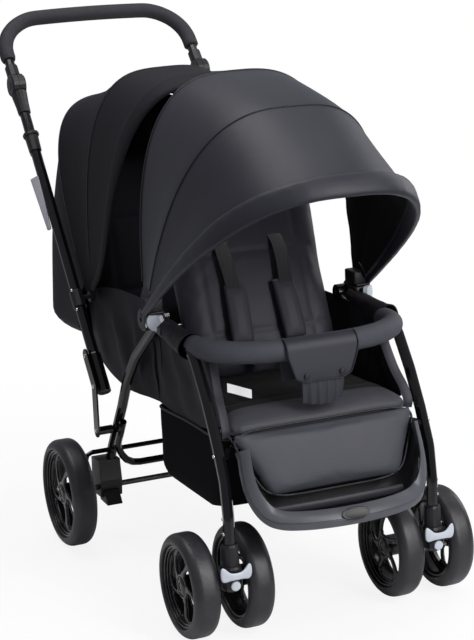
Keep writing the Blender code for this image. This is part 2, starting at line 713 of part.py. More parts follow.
def make_rear_bracket(side):
    """The moulded foot that holds the leg and the axle, with a toe for the brake."""
    low, high = sorted((side * REAR_BRACKET_INNER_X, side * REAR_BRACKET_OUTER_X))
    y, z = WHEELBASE, REAR_WHEEL_R
    outline = [(y - 0.016, z - 0.015), (y + 0.020, z - 0.015), (y + 0.028, z - 0.003)]
    outline += [(y + 0.024, z + 0.051), (y - 0.014, z + 0.051), (y - 0.020, z + 0.015)]
    body = place("rear_bracket_" + side_name(side), slab(outline, low, high), PLASTIC)
    toe = [(y - 0.038, z - 0.025), (y, z - 0.023), (y, z - 0.003), (y - 0.024, z - 0.003)]
    step = place("toe", slab(toe, low + 0.004, high - 0.008), PLASTIC)
    boolean(body, [step], "UNION")
    leg = rear_leg(side)
    foot = leg[-1] + (leg[-1] - leg[-2]).normalized() * CLEAR
    room = place("room", tube(leg[-6:-1] + [foot], LEG_R + CLEAR), PLASTIC)
    bore = place("bore", tube(rear_axle_line(0.30), REAR_AXLE_R + CLEAR, 12), PLASTIC)
    boolean(body, [room], "DIFFERENCE")
    return boolean(body, [bore], "DIFFERENCE")


def make_cross_tube():
    """The U shaped tube that ties the rear legs together behind the basket."""
    side_gap = LEG_R + CROSS_TUBE_R + CLEAR
    top, foot = Vector(SHIN_TOP), Vector(SHIN_FOOT)
    down = (foot - top).normalized()
    ahead = Vector((0, down.y, -down.x)) * side_gap
    upper, lower = top.lerp(foot, 0.191), top.lerp(foot, 0.765)
    points = []
    for side in (-1, 1):
        x = side * REAR_LEG_X
        run = [at(x, *upper) + ahead, at(x, *lower) + ahead, at(x * 0.86, lower.x + 0.0025, CROSS_TUBE_Z)]
        points += run if side < 0 else run[::-1]
    return place("rear_cross_tube", tube(rounded(points, 0.045, 3), CROSS_TUBE_R, 8), FRAME)


def make_brake_bar():
    """A bent rod across the back. Its arms reach down to the axle, about which it turns."""
    low = REAR_WHEEL_R + 0.0085
    y = WHEELBASE + BRAKE_BACK
    top = REAR_WHEEL_R + BRAKE_RISE
    points = []
    for side in (-1, 1):
        x = side * BRAKE_ARM_X
        run = [at(x, WHEELBASE, low), at(x, WHEELBASE + 0.004, low + 0.010), at(x, y, top)]
        points += run if side < 0 else run[::-1]
    made = place("brake_bar", tube(rounded(points, 0.014, 2), BRAKE_R, 8), FRAME, at(0, WHEELBASE, REAR_WHEEL_R))
    for side in (-1, 1):
        ends = [at(side * (BRAKE_ARM_X + d), WHEELBASE, REAR_WHEEL_R) for d in (-BRAKE_R, BRAKE_R)]
        beyond = [at(side * (BRAKE_ARM_X + d), WHEELBASE, REAR_WHEEL_R) for d in (-0.012, 0.012)]
        boolean(made, [place("eye", tube(ends, 0.0105, 12), FRAME)], "UNION")
        boolean(made, [place("hole", tube(beyond, REAR_AXLE_R + CLEAR, 12), FRAME)], "DIFFERENCE")
    return made


def make_rear_wheel(side):
    name = side_name(side)
    centre = at(side * REAR_WHEEL_X, WHEELBASE, REAR_WHEEL_R)
    tyre("rear_%s_tyre" % name, REAR_WHEEL_R, centre, RUBBER)
    depth = REAR_AXLE_HALF - (REAR_WHEEL_X - TYRE_WIDTH / 2 * 0.92) + CLEAR
    wheel_rim("rear_%s_rim" % name, REAR_WHEEL_R, REAR_AXLE_R + CLEAR, depth, side, centre, GLOSS)


PUSH_AXIS = Vector((0, KNOB_Y - FOLD_Y, KNOB_Z - FOLD_Z)).normalized()
PUSH_LENGTH = math.hypot(KNOB_Y - FOLD_Y, KNOB_Z - FOLD_Z)


def on_push(side, along):
    """A point on the push tube's axis, measured from the fold joint."""
    return at(side * PUSH_TUBE_X, FOLD_Y, FOLD_Z) + PUSH_AXIS * along


def make_fold_plate(side):
    """The steel plate outside the fold joint, with its pin and the boss that sits on the rear leg."""
    name = "fold_plate_" + side_name(side)
    low, high = sorted((side * FOLD_PLATE_X, side * (FOLD_PLATE_X + FOLD_PLATE_THICK)))
    foot = FOLD_FOOT
    upper = on_push(side, 0.062)
    head = (upper.y - Y_FRONT_AXLE, upper.z)
    lower = place(name, slab(capsule(foot, (FOLD_Y, FOLD_Z), FOLD_PLATE_WIDTH / 2), low, high), FRAME)
    more = place("more", slab(capsule((FOLD_Y, FOLD_Z), head, FOLD_PLATE_WIDTH / 2 - 0.0004), low, high), FRAME)
    middle = side * (FOLD_PLATE_X + FOLD_PLATE_THICK / 2)
    inner = side * (REAR_LEG_X + LEG_R + CLEAR)
    boss = place("boss", tube([at(inner, *foot), at(middle, *foot)], 0.0075, 16), FRAME)
    pin = place("pin", tube([at(side * (PUSH_TUBE_X - 0.006), FOLD_Y, FOLD_Z), at(middle, FOLD_Y, FOLD_Z)], FOLD_PIN_R, 16), FRAME)
    return boolean(lower, [more, boss, pin], "UNION")


def make_push_tube(side):
    """The push tube, with the moulded sleeve that turns on the fold pin at its foot."""
    pivot = at(side * PUSH_TUBE_X, FOLD_Y, FOLD_Z)
    end = PUSH_LENGTH - 0.034
    stops = [-0.013, SLEEVE_LENGTH - 0.016, SLEEVE_LENGTH - 0.014, SLEEVE_LENGTH - 0.0139, 0.30, end]
    sizes = [SLEEVE_R, SLEEVE_R, SLEEVE_R * 0.97, PUSH_TUBE_R, PUSH_TUBE_R, PUSH_TUBE_R]
    bm = tube([on_push(side, s) for s in stops], sizes)
    made = place("push_tube_" + side_name(side), bm, FRAME, pivot)
    hole_from = at(side * (PUSH_TUBE_X - 0.0065), FOLD_Y, FOLD_Z)
    hole_to = at(side * (PUSH_TUBE_X + 0.020), FOLD_Y, FOLD_Z)
    return boolean(made, [place("hole", tube([hole_from, hole_to], FOLD_PIN_R + CLEAR, 16), FRAME)], "DIFFERENCE")


def make_handle_socket(side):
    """The lower half of the tilting joint: a tapered socket over the push tube and an inner cheek."""
    knob = at(0, KNOB_Y, KNOB_Z)
    start = on_push(side, PUSH_LENGTH - SOCKET_LENGTH)
    profile = [(0, PUSH_TUBE_R + 0.0022), (SOCKET_LENGTH * 0.28, 0.0125), (SOCKET_LENGTH - 0.018, 0.0150)]
    cone = [(0, 0)] + profile + [(SOCKET_LENGTH - 0.018, 0)]
    socket = place("handle_socket_" + side_name(side), lathe(cone, start, PUSH_AXIS, 14), PLASTIC)
    face = side * (PUSH_TUBE_X - RUN_CLEAR / 2)
    inner = face - side * KNOB_HALF_THICK
    disc = [(0, 0), (0, KNOB_R - 0.003), (0.003, KNOB_R), (KNOB_HALF_THICK, KNOB_R), (KNOB_HALF_THICK, 0)]
    cheek = place("cheek", lathe(disc, knob + Vector((inner, 0, 0)), (side, 0, 0), 18), PLASTIC)
    boolean(socket, [cheek], "UNION")
    turn_room = [(0, 0), (0, KNOB_R + 0.001), (0.030, KNOB_R + 0.001), (0.030, 0)]
    room = place("room", lathe(turn_room, knob + Vector((face, 0, 0)), (side, 0, 0), 18), PLASTIC)
    bore = place("bore", tube([on_push(side, 0.40), on_push(side, PUSH_LENGTH - 0.034 + CLEAR)], PUSH_TUBE_R + CLEAR), PLASTIC)
    boolean(socket, [room], "DIFFERENCE")
    return boolean(socket, [bore], "DIFFERENCE")


HANDLE_AXIS = Vector((0, math.cos(HANDLE_PITCH), math.sin(HANDLE_PITCH)))


def handle_path(first):
    """The handle's U, from one knob to the other, starting some way above the knobs."""
    base = at(0, KNOB_Y, KNOB_Z)
    points = []
    for side in (-1, 1):
        start = base + HANDLE_AXIS * first + Vector((side * PUSH_TUBE_X, 0, 0))
        turn = base + HANDLE_AXIS * HANDLE_LENGTH + Vector((side * PUSH_TUBE_X, 0, 0))
        points += [start, turn] if side < 0 else [turn, start]
    return rounded(points, HANDLE_BEND, 6)


def make_handle():
    """The U shaped handle: its tube, foam grip, outer knobs and the buttons that free the tilt."""
    base = at(0, KNOB_Y, KNOB_Z)
    path = handle_path(0.030)
    place("handle_tube", tube(path, HANDLE_TUBE_R), FRAME, base)
    place("handle_foam", tube(handle_path(FOAM_START), FOAM_R, bore=HANDLE_TUBE_R + CLEAR), FOAM, base)
    for side in (-1, 1):
        name = side_name(side)
        face = side * (PUSH_TUBE_X + RUN_CLEAR / 2)
        thick = KNOB_HALF_THICK
        deep = thick - BUTTON_TRAVEL - 0.003
        recess = BUTTON_R + CLEAR
        disc = [(0, 0), (0, KNOB_R), (thick - 0.003, KNOB_R), (thick, KNOB_R - 0.003)]
        disc += [(thick, recess), (deep, recess), (deep, 0)]
        knob = place("handle_knob_" + name, lathe(disc, base + Vector((face, 0, 0)), (side, 0, 0), 18), PLASTIC, base)
        post = base + Vector((side * PUSH_TUBE_X, 0, 0))
        cup = place("cup", tube([post + HANDLE_AXIS * 0.0160, post + HANDLE_AXIS * 0.042], HANDLE_TUBE_R + 0.0030), PLASTIC)
        turn_room = [(0, 0), (0, KNOB_R + 0.001), (0.030, KNOB_R + 0.001), (0.030, 0)]
        far = base + Vector((side * PUSH_TUBE_X - side * 0.030 + side * RUN_CLEAR / 2, 0, 0))
        room = place("room", lathe(turn_room, far, (side, 0, 0), 18), PLASTIC)
        boolean(cup, [room], "DIFFERENCE")
        boolean(knob, [cup], "UNION")
        rod = [post + HANDLE_AXIS * (0.030 - CLEAR), post + HANDLE_AXIS * 0.060]
        bore = place("bore", tube(rod, HANDLE_TUBE_R + CLEAR), PLASTIC)
        boolean(knob, [bore], "DIFFERENCE")
        depth = thick - deep - CLEAR + 0.0008 - BUTTON_TRAVEL
        button_start = base + Vector((face + side * (deep + CLEAR + BUTTON_TRAVEL), 0, 0))
        button = [(0, 0), (0, BUTTON_R), (depth - 0.0008, BUTTON_R), (depth, BUTTON_R - 0.001), (depth, 0)]
        place("handle_button_" + name, lathe(button, button_start, (side, 0, 0), 18), PLASTIC, base)


def make_slider(side):
    """The release slider: a collar on the push tube with a finger loop outside."""
    low = on_push(side, SLIDER_AT)
    high = on_push(side, SLIDER_AT + SLIDER_LENGTH)
    ring = [low, low + PUSH_AXIS * (SLIDER_LENGTH - 0.006), low + PUSH_AXIS * (SLIDER_LENGTH - 0.0055), high]
    body = place("fold_slider_" + side_name(side), tube(ring, [SLIDER_R - 0.002, SLIDER_R - 0.001, SLIDER_R + 0.0015, SLIDER_R + 0.0015]), PLASTIC, low)
    back = Vector((0, PUSH_AXIS.z, -PUSH_AXIS.y))
    start = on_push(side, SLIDER_AT + 0.004) + back * 0.006
    out = back * (LOOP_REACH - 0.006)
    points = [start, start + out, start + out + PUSH_AXIS * 0.028, start + PUSH_AXIS * 0.028]
    loop = place("loop", tube(rounded(points, 0.005, 2), 0.0028, 8), PLASTIC)
    boolean(body, [loop], "UNION")
    bore = place("bore", tube([on_push(side, 0.40), on_push(side, 0.56)], PUSH_TUBE_R + CLEAR), PLASTIC)
    return boolean(body, [bore], "DIFFERENCE")


def make_canopy_bracket(side):
    """The round bracket inside the push tube that carries the rear canopy."""
    centre = at(0, REAR_HUB_Y, REAR_HUB_Z)
    head, pin, seat, _ = REAR_BRACKET_LINE
    profile = [(head, 0), (head, REAR_HUB_R - 0.002), (head + 0.002, REAR_HUB_R), (pin, REAR_HUB_R)]
    profile += [(pin, PIVOT_PIN_R), (seat + 0.004, PIVOT_PIN_R), (seat + 0.004, 0)]
    bracket = place("canopy_bracket_" + side_name(side), lathe(profile, centre, (side, 0, 0), 16), PLASTIC)
    spot = PUSH_AXIS.dot(centre - at(0, FOLD_Y, FOLD_Z))
    sleeve = place("sleeve", tube([on_push(side, spot - 0.016), on_push(side, spot + 0.016)], PUSH_TUBE_R + 0.003), PLASTIC)
    boolean(bracket, [sleeve], "UNION")
    bore = place("bore", tube([on_push(side, spot - 0.04), on_push(side, spot + 0.04)], PUSH_TUBE_R + CLEAR), PLASTIC)
    return boolean(bracket, [bore], "DIFFERENCE")


def make_bumper():
    """The foam bumper bar. Its ends are cut round the front legs that they grip."""
    points = []
    for side in (-1, 1):
        x = side * FRONT_LEG_X
        run = [(x, BUMPER_BACK_Y, BUMPER_Z + 0.001), (x, BUMPER_CORNER_Y - 0.008, BUMPER_Z), (x * 0.62, BUMPER_FRONT_Y, BUMPER_Z)]
        points += run if side < 0 else run[::-1]
    path = rounded([at(*p) for p in points], 0.040, 4)
    foam = place("bumper_bar", tube(path, BUMPER_R), FOAM)
    for side in (-1, 1):
        room = place("room", tube(front_leg(side), LEG_R + CLEAR), FOAM)
        boolean(foam, [room], "DIFFERENCE")
    return foam


def make_flap():
    """The crotch flap: cloth wrapped over the bumper that comes down to the seat."""
    half_top, half_low = 0.062, 0.042
    thick = 0.004
    wrap = BUMPER_R + 0.0008
    line = [(BUMPER_FRONT_Y + wrap + 0.001, 0.372)]
    for k in range(9):
        turn = math.pi * k / 8
        line.append((BUMPER_FRONT_Y + wrap * math.cos(turn), BUMPER_Z + wrap * math.sin(turn)))
    line += [(BUMPER_FRONT_Y - wrap - 0.001, 0.410), (BUMPER_FRONT_Y - wrap + 0.003, 0.376)]
    line += [(BUMPER_FRONT_Y - wrap + 0.012, 0.3545)]
    bm = bmesh.new()
    rows = []
    count = len(line)
    for k, (y, z) in enumerate(line):
        before, after = line[max(k - 1, 0)], line[min(k + 1, count - 1)]
        out = Vector((0, -(after[1] - before[1]), after[0] - before[0])).normalized() * -1
        if k in (0,):
            out = Vector((0, 1, 0))
        share = max(0.0, (0.43 - z) / 0.09)
        half = half_top + (half_low - half_top) * min(1.0, share)
        rows.append([bm.verts.new(at(x, y, z) + out * d) for d in (0, thick) for x in (-half, 0, half)])
    for a, b in zip(rows, rows[1:]):
        for i, j in ((0, 1), (1, 2), (2, 5), (5, 4), (4, 3), (3, 0)):
            bm.faces.new((a[i], a[j], b[j], b[i]))
    bm.faces.new([rows[0][i] for i in (0, 1, 2, 5, 4, 3)])
    bm.faces.new([rows[-1][i] for i in (0, 1, 2, 5, 4, 3)])
    return place("crotch_flap", bm, SEAT)


def make_tray():
    """The footrest: a moulded scoop slung between the front legs, with arms that rise to them."""
    half = TRAY_HALF
    steps = 20
    bm = bmesh.new()
    rows = []
    outer_x = FRONT_LEG_X - LEG_R - CLEAR
    for k in range(steps + 1):
        turn = math.pi * k / steps
        across = -power(math.cos(turn), 0.55)
        reach = abs(math.sin(turn)) ** 0.55
        rise = 0.088 * (1 - reach) ** 1.2
        y = TRAY_BACK_Y + (TRAY_FRONT_Y - TRAY_BACK_Y) * reach + 0.020 * (1 - reach)
        z = TRAY_FLOOR_Z + rise
        x = outer_x * across
        inward = Vector((-across * (1 - reach ** 3), reach ** 3, 0)).normalized()
        deep = TRAY_WALL + 0.012 * reach
        section = [(0, 0.004), (0.003, 0), (deep, 0), (deep, TRAY_WALL), (TRAY_WALL + 0.001, TRAY_WALL + 0.002)]
        section += [(TRAY_WALL, TRAY_RIM - 0.002), (TRAY_WALL - 0.001, TRAY_RIM), (0.001, TRAY_RIM), (0, TRAY_RIM - 0.002)]
        rows.append([bm.verts.new(at(x, y, z) + inward * d + Vector((0, 0, h))) for d, h in section])
    count = len(rows[0])
    for a, b in zip(rows, rows[1:]):
        for i in range(count):
            bm.faces.new((a[i], a[(i + 1) % count], b[(i + 1) % count], b[i]))
    bm.faces.new(rows[0])
    bm.faces.new(rows[-1])
    tray = place("footrest_tray", bm, TRAY)
    floor_half = half * 0.86
    floor = block((-floor_half, TRAY_FRONT_Y + 0.008, TRAY_FLOOR_Z), (floor_half, TRAY_BACK_Y + 0.018, TRAY_FLOOR_Z + TRAY_WALL), 0.0)
    return boolean(tray, [place("floor", floor, TRAY)], "UNION")


def make_seat_frame():
    """The bent tube under both seats. Its front ends reach out to the front legs."""
    z = SEAT_BOTTOM_Z - CLEAR - RAIL_R
    points = []
    for side in (-1, 1):
        x = side * SEAT_RAIL_X
        run = [(side * FRONT_LEG_X, -0.0385, 0.2880), (x, -0.018, 0.2980), (x, 0.012, z), (x, 0.440, z)]
        points += run if side < 0 else run[::-1]
    made = place("seat_frame", tube(rounded([at(*p) for p in points], 0.030, 2), RAIL_R), FRAME)
    for side in (-1, 1):
        room = place("room", tube(front_leg(side), LEG_R + CLEAR), FRAME)
        boolean(made, [room], "DIFFERENCE")
    return made


def make_front_seat():
    """The front seat: a stuffed base with a cloth wing on each side that hangs from the arm."""
    length = SEAT_BACK_Y - SEAT_FRONT_Y
    bm = cushion(SEAT_HALF, length, SEAT_THICK * 0.92, 0.0, channels=(-0.5, 0.78), rows=14, columns=8)
    tip(bm, at(0, SEAT_FRONT_Y, SEAT_BOTTOM_Z), 0.0, 0.0)
    front, back = SEAT_FRONT_Y, SEAT_BACK_Y
    outline = [(front + 0.010, SEAT_BOTTOM_Z + 0.004), (back - 0.015, SEAT_BOTTOM_Z + 0.004)]
    outline += [(back - 0.038, WING_TOP_Z), (front + 0.120, WING_TOP_Z + 0.006)]
    outline += [(front + 0.060, WING_TOP_Z - 0.030), (front + 0.008, SEAT_BOTTOM_Z + 0.0225)]
    return winged(place("front_seat", bm, SEAT), outline, front + 0.030, back - 0.030)


def winged(seat, outline, hem_front, hem_back):
    """Sew a cloth wing to each side of a seat along a hem."""
    for side in (-1, 1):
        outer = side * (SEAT_HALF + 0.0085)
        inner = outer - side * WING_THICK
        wing = place("wing", slab(outline, min(inner, outer), max(inner, outer)), DARK)
        low, high = sorted((side * (SEAT_HALF - 0.012), side * (SEAT_HALF + 0.004)))
        hem_low, hem_high = (low, hem_front, SEAT_BOTTOM_Z + 0.006), (high, hem_back, SEAT_BOTTOM_Z + 0.014)
        hem = place("hem", block(hem_low, hem_high), DARK)
        boolean(seat, [hem, wing], "UNION")
    return seat


def make_front_back():
    """The front backrest, which tips about the back of the front seat."""
    hinge = at(0, FRONT_RECLINE_Y, FRONT_RECLINE_Z)
    bm = cushion(BACK_HALF, FRONT_BACK_LENGTH, BACK_THICK, BACK_CROWN, channels=(-0.45, 0.15), root=0.07)
    tip(bm, hinge, FRONT_BACK_PITCH, 0.0)
    return place("front_backrest", bm, SEAT, hinge)


def make_harness():
    """The shoulder straps and pads of the front seat, joined by their buckle."""
    hinge = at(0, FRONT_RECLINE_Y, FRONT_RECLINE_Z)
    lift = BACK_THICK + BACK_CROWN + CLEAR
    thick = 0.006
    bm = bmesh.new()
    outline = []
    for side in (-1, 1):
        run = [(0.022, 0.020), (0.060, 0.070), (0.066, 0.200), (0.036, 0.200), (0.030, 0.085), (0.0, 0.056)]
        outline += [(side * x, y) for x, y in (run if side > 0 else run[-2::-1])]
    layers = [[bm.verts.new((x, y, z)) for x, y in outline] for z in (0.0, thick)]
    count = len(outline)
    bm.faces.new(layers[0])
    bm.faces.new(layers[1])
    for k in range(count):
        bm.faces.new((layers[0][k], layers[0][(k + 1) % count], layers[1][(k + 1) % count], layers[1][k]))
    tip(bm, hinge, FRONT_BACK_PITCH, -lift)
    return place("front_harness", bm, DARK, hinge)


def make_rear_seat():
    """The rear seat: a stuffed base between two cloth walls that rise to the rear canopy's feet."""
    length = REAR_SEAT_BACK_Y - REAR_SEAT_FRONT_Y
    bm = cushion(SEAT_HALF, length, SEAT_THICK, 0.003, channels=(0.0,), rows=12, columns=8)
    tip(bm, at(0, REAR_SEAT_FRONT_Y, SEAT_BOTTOM_Z), 0.0, 0.0)
    front, back = REAR_SEAT_FRONT_Y, REAR_SEAT_BACK_Y
    outline = [(front - 0.010, SEAT_BOTTOM_Z + 0.004), (back - 0.046, SEAT_BOTTOM_Z + 0.004)]
    outline += [(back - 0.038, REAR_WING_TOP_Z - 0.022), (back - 0.110, REAR_WING_TOP_Z - 0.006)]
    outline += [(front + 0.055, REAR_WING_TOP_Z), (front - 0.010, REAR_WING_TOP_Z)]
    return winged(place("rear_seat", bm, SEAT), outline, front + 0.030, back - 0.060)


def curtain_line(share):
    """One line down the cloth behind the rear backrest: from under the rear bow, then in to the foot of the back."""
    begin = start_turn(CURTAIN_BOW, CURTAIN_FOOT)
    top = bow_point((REAR_HUB_Y, REAR_HUB_Z), CURTAIN_BOW, begin + (math.pi - 2 * begin) * share)
    across, back = -power(math.cos(math.pi * share), 0.36), abs(math.sin(math.pi * share)) ** 0.36
    low_y = CURTAIN_SIDE_Y + (CURTAIN_BACK_Y - CURTAIN_SIDE_Y) * back
    low = at(CURTAIN_BOW[2] * across, low_y, CURTAIN_LOW_Z)
    foot_x = -(BACK_HALF - 0.012) * math.cos(math.pi * share)
    foot = at(foot_x, REAR_RECLINE_Y - 0.0012, REAR_RECLINE_Z + 0.0002)
    line = [top.lerp(low, k / 5) for k in range(6)]
    for turn in (math.radians(30), math.radians(60), math.radians(90)):
        gone, sunk = 1 - math.cos(turn), math.sin(turn)
        across_now = low.lerp(foot, gone)
        line.append(Vector((across_now.x, across_now.y, low.z + (foot.z - low.z) * sunk)))
    return line


def make_rear_back():
    """The rear backrest with the cloth that hangs behind it, sewn to its foot."""
    hinge = at(0, REAR_RECLINE_Y, REAR_RECLINE_Z)
    bm = cushion(BACK_HALF, REAR_BACK_LENGTH, BACK_THICK, BACK_CROWN, channels=(-0.45, 0.15), root=0.05)
    tip(bm, hinge, REAR_BACK_PITCH, 0.0)
    back = place("rear_backrest", bm, DARK, hinge)
    count = 20
    lines = [curtain_line(i / count) for i in range(count + 1)]
    levels = len(lines[0])
    bm = bmesh.new()
    skins = [[], []]
    for i, line in enumerate(lines):
        for skin in skins:
            skin.append([])
        for k, point in enumerate(line):
            down = line[min(k + 1, levels - 1)] - line[max(k - 1, 0)]
            along = lines[min(i + 1, count)][k] - lines[max(i - 1, 0)][k]
            inward = down.cross(along).normalized() if k < levels - 1 else Vector((0, 0, 1))
            skins[0][i].append(bm.verts.new(point))
            skins[1][i].append(bm.verts.new(point + inward * CURTAIN_THICK))
    for skin in skins:
        for i in range(count):
            for k in range(levels - 1):
                bm.faces.new((skin[i][k], skin[i + 1][k], skin[i + 1][k + 1], skin[i][k + 1]))
    ring = [(i, 0) for i in range(count)] + [(count, k) for k in range(levels - 1)]
    ring += [(i, levels - 1) for i in range(count, 0, -1)] + [(0, k) for k in range(levels - 1, 0, -1)]
    for (i, k), (m, n) in zip(ring, ring[1:] + ring[:1]):
        bm.faces.new((skins[0][i][k], skins[0][m][n], skins[1][m][n], skins[1][i][k]))
    boolean(back, [place("curtain", bm, DARK)], "UNION")
    return back


def make_calf_rest():
    """The padded calf panel that hangs from the front edge of the seat."""
    hinge = at(0, CALF_HINGE_Y, CALF_HINGE_Z)
    bm = cushion(CALF_HALF, CALF_LENGTH, CALF_THICK, 0.002, rows=8, columns=12)
    bmesh.ops.scale(bm, verts=bm.verts, vec=(1, 1, -1))
    tip(bm, hinge, CALF_PITCH, -CALF_THICK / 2)
    return place("calf_rest", bm, SEAT, hinge)


def make_basket():
    """The shopping basket under the seats, open at the top."""
    top = SEAT_BOTTOM_Z - CLEAR - 2 * RAIL_R - CLEAR
    bm = bmesh.new()
    wall = BASKET_WALL
    low, high = (-BASKET_HALF, BASKET_FRONT_Y), (BASKET_HALF, BASKET_BACK_Y)
    taper = 0.012

    def ring(inset, z, lean):
        x0, y0, x1, y1 = low[0] + inset + lean, low[1] + inset + lean, high[0] - inset - lean, high[1] - inset - lean
        cut = 0.020
        corners = [(x0 + cut, y0), (x1 - cut, y0), (x1, y0 + cut), (x1, y1 - cut)]
        corners += [(x1 - cut, y1), (x0 + cut, y1), (x0, y1 - cut), (x0, y0 + cut)]
        drop = top - BASKET_BACK_TOP_Z if z == top else 0.0
        return [bm.verts.new(at(x, y, z - drop * (y > (y0 + y1) / 2))) for x, y in corners]

    rings = [ring(0, BASKET_FLOOR_Z, taper), ring(0, BASKET_FLOOR_Z + 0.014, 0.002), ring(0, top, 0)]
    rings += [ring(wall, top, 0), ring(wall, BASKET_FLOOR_Z + 0.014, 0.002), ring(wall, BASKET_FLOOR_Z + wall, taper)]
    for a, b in zip(rings, rings[1:]):
        for k in range(8):
            bm.faces.new((a[k], a[(k + 1) % 8], b[(k + 1) % 8], b[k]))
    bm.faces.new(rings[0])
    bm.faces.new(rings[-1])
    return place("basket", bm, DARK)


for side in (-1, 1):
    make_front_leg(side)
    make_side_hub(side)
    make_caster(side)
    make_rear_leg(side)
    make_rear_bracket(side)
    make_rear_wheel(side)
    make_fold_plate(side)
    make_push_tube(side)
    make_handle_socket(side)
    make_slider(side)
    make_canopy_bracket(side)
place("rear_axle", tube(rear_axle_line(REAR_AXLE_HALF), REAR_AXLE_R, 12), STEEL)
make_cross_tube()
make_brake_bar()
make_handle()
make_bumper()
make_flap()
make_tray()
make_seat_frame()
make_front_seat()
make_front_back()
make_harness()
make_rear_seat()
make_rear_back()
make_calf_rest()
make_basket()
FRONT_HUB = (HUB_Y, HUB_Z)
REAR_HUB = (REAR_HUB_Y, REAR_HUB_Z)
shade("front_canopy_shade", CANOPY, FRONT_HUB, (FRONT_REAR_BOW, FRONT_MIDDLE_BOW, FRONT_LAST_BOW), HUB_R + 0.0004)
FRONT_DISC = (HUB_OUTER_X + CLEAR, HUB_OUTER_X + 0.0040)
FRONT_PIN_END = HUB_OUTER_X - CANOPY_PIN_DEEP + 0.0010
rim("front_canopy_rim", CANOPY, FRONT_HUB, FRONT_RIM_BOW, HUB_R + 0.004, FRONT_DISC, FRONT_PIN_END)
shade("rear_canopy_shade", DARK, REAR_HUB, (REAR_REAR_BOW, REAR_MIDDLE_BOW, REAR_LAST_BOW), REAR_HUB_R + 0.0004)
REAR_DISC = (REAR_BRACKET_LINE[1] + CLEAR, REAR_BRACKET_LINE[2] - CLEAR)
rim("rear_canopy_rim", DARK, REAR_HUB, REAR_RIM_BOW, HUB_R + 0.004, REAR_DISC)
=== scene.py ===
import math

import bmesh
import bpy
from mathutils import Matrix, Vector, noise


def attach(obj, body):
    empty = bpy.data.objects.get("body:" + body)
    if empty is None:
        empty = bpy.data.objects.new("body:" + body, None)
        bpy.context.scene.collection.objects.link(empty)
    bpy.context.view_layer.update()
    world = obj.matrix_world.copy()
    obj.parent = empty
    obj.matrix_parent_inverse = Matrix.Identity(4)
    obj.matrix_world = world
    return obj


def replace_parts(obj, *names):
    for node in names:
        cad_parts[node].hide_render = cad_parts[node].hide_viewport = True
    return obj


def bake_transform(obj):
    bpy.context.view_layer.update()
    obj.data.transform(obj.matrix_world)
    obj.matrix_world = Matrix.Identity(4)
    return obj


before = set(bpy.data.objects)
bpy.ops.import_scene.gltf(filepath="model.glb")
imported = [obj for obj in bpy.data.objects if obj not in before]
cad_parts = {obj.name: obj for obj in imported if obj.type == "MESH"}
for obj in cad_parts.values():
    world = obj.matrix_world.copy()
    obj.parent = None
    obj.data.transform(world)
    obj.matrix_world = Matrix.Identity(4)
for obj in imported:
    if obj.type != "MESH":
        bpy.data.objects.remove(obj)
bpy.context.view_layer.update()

FRONT_AXLE_Y = -0.3994
FRONT_HUB = (0.212, 0.458)
REAR_HUB = (0.552, 0.430)
# a bow: how far it is turned up from behind, its height, its half width and how square it is
FRONT_BOWS = [
    (math.radians(86.0), 0.381, 0.1890, 2.90),
    (math.radians(117.3), 0.384, 0.1905, 2.80),
    (math.radians(143.0), 0.4185, 0.1905, 2.85),
]
FRONT_RIM = (math.radians(145.4), 0.4245, 0.1970, 2.85)
REAR_BOWS = [
    (math.radians(58.0), 0.391, 0.1710, 3.70),
    (math.radians(90.0), 0.392, 0.1665, 3.20),
    (math.radians(113.0), 0.4205, 0.1645, 3.10),
]
REAR_RIM = (math.radians(115.0), 0.4265, 0.1688, 3.10)
LEG_X = 0.1755
PUSH_X = 0.1850
FOLD = (0.453, 0.292)
KNOB = (0.835, 0.782)
# a hinge: its distance behind the front axle, its height and how far its pad leans
FRONT_BACK = (0.170, 0.3433, math.radians(67))
REAR_BACK = (0.6127, 0.3404, math.radians(76))
CALF = (-0.0364, 0.3240, math.radians(-112))


def at(x, y, z):
    """A point from its distance behind the front axle."""
    return Vector((x, y + FRONT_AXLE_Y, z))


# finishes


class Reading:
    """A number that varies over a surface. Sums written with it add their Math nodes."""

    def __init__(self, finish, socket):
        self.finish, self.socket = finish, socket

    def reckon(self, operation, first, second=0.0):
        return self.finish.add("ShaderNodeMath", {"operation": operation}, {0: first, 1: second})

    def __add__(self, other):
        return self.reckon("ADD", self, other)

    def __sub__(self, other):
        return self.reckon("SUBTRACT", self, other)

    def __rsub__(self, other):
        return self.reckon("SUBTRACT", other, self)

    def __mul__(self, other):
        return self.reckon("MULTIPLY", self, other)

    __radd__, __rmul__ = __add__, __mul__

    def wave(self):
        return self.reckon("SINE", self)

    def kept(self):
        """The same number held between 0 and 1."""
        return self.finish.add("ShaderNodeClamp", {}, {0: self})


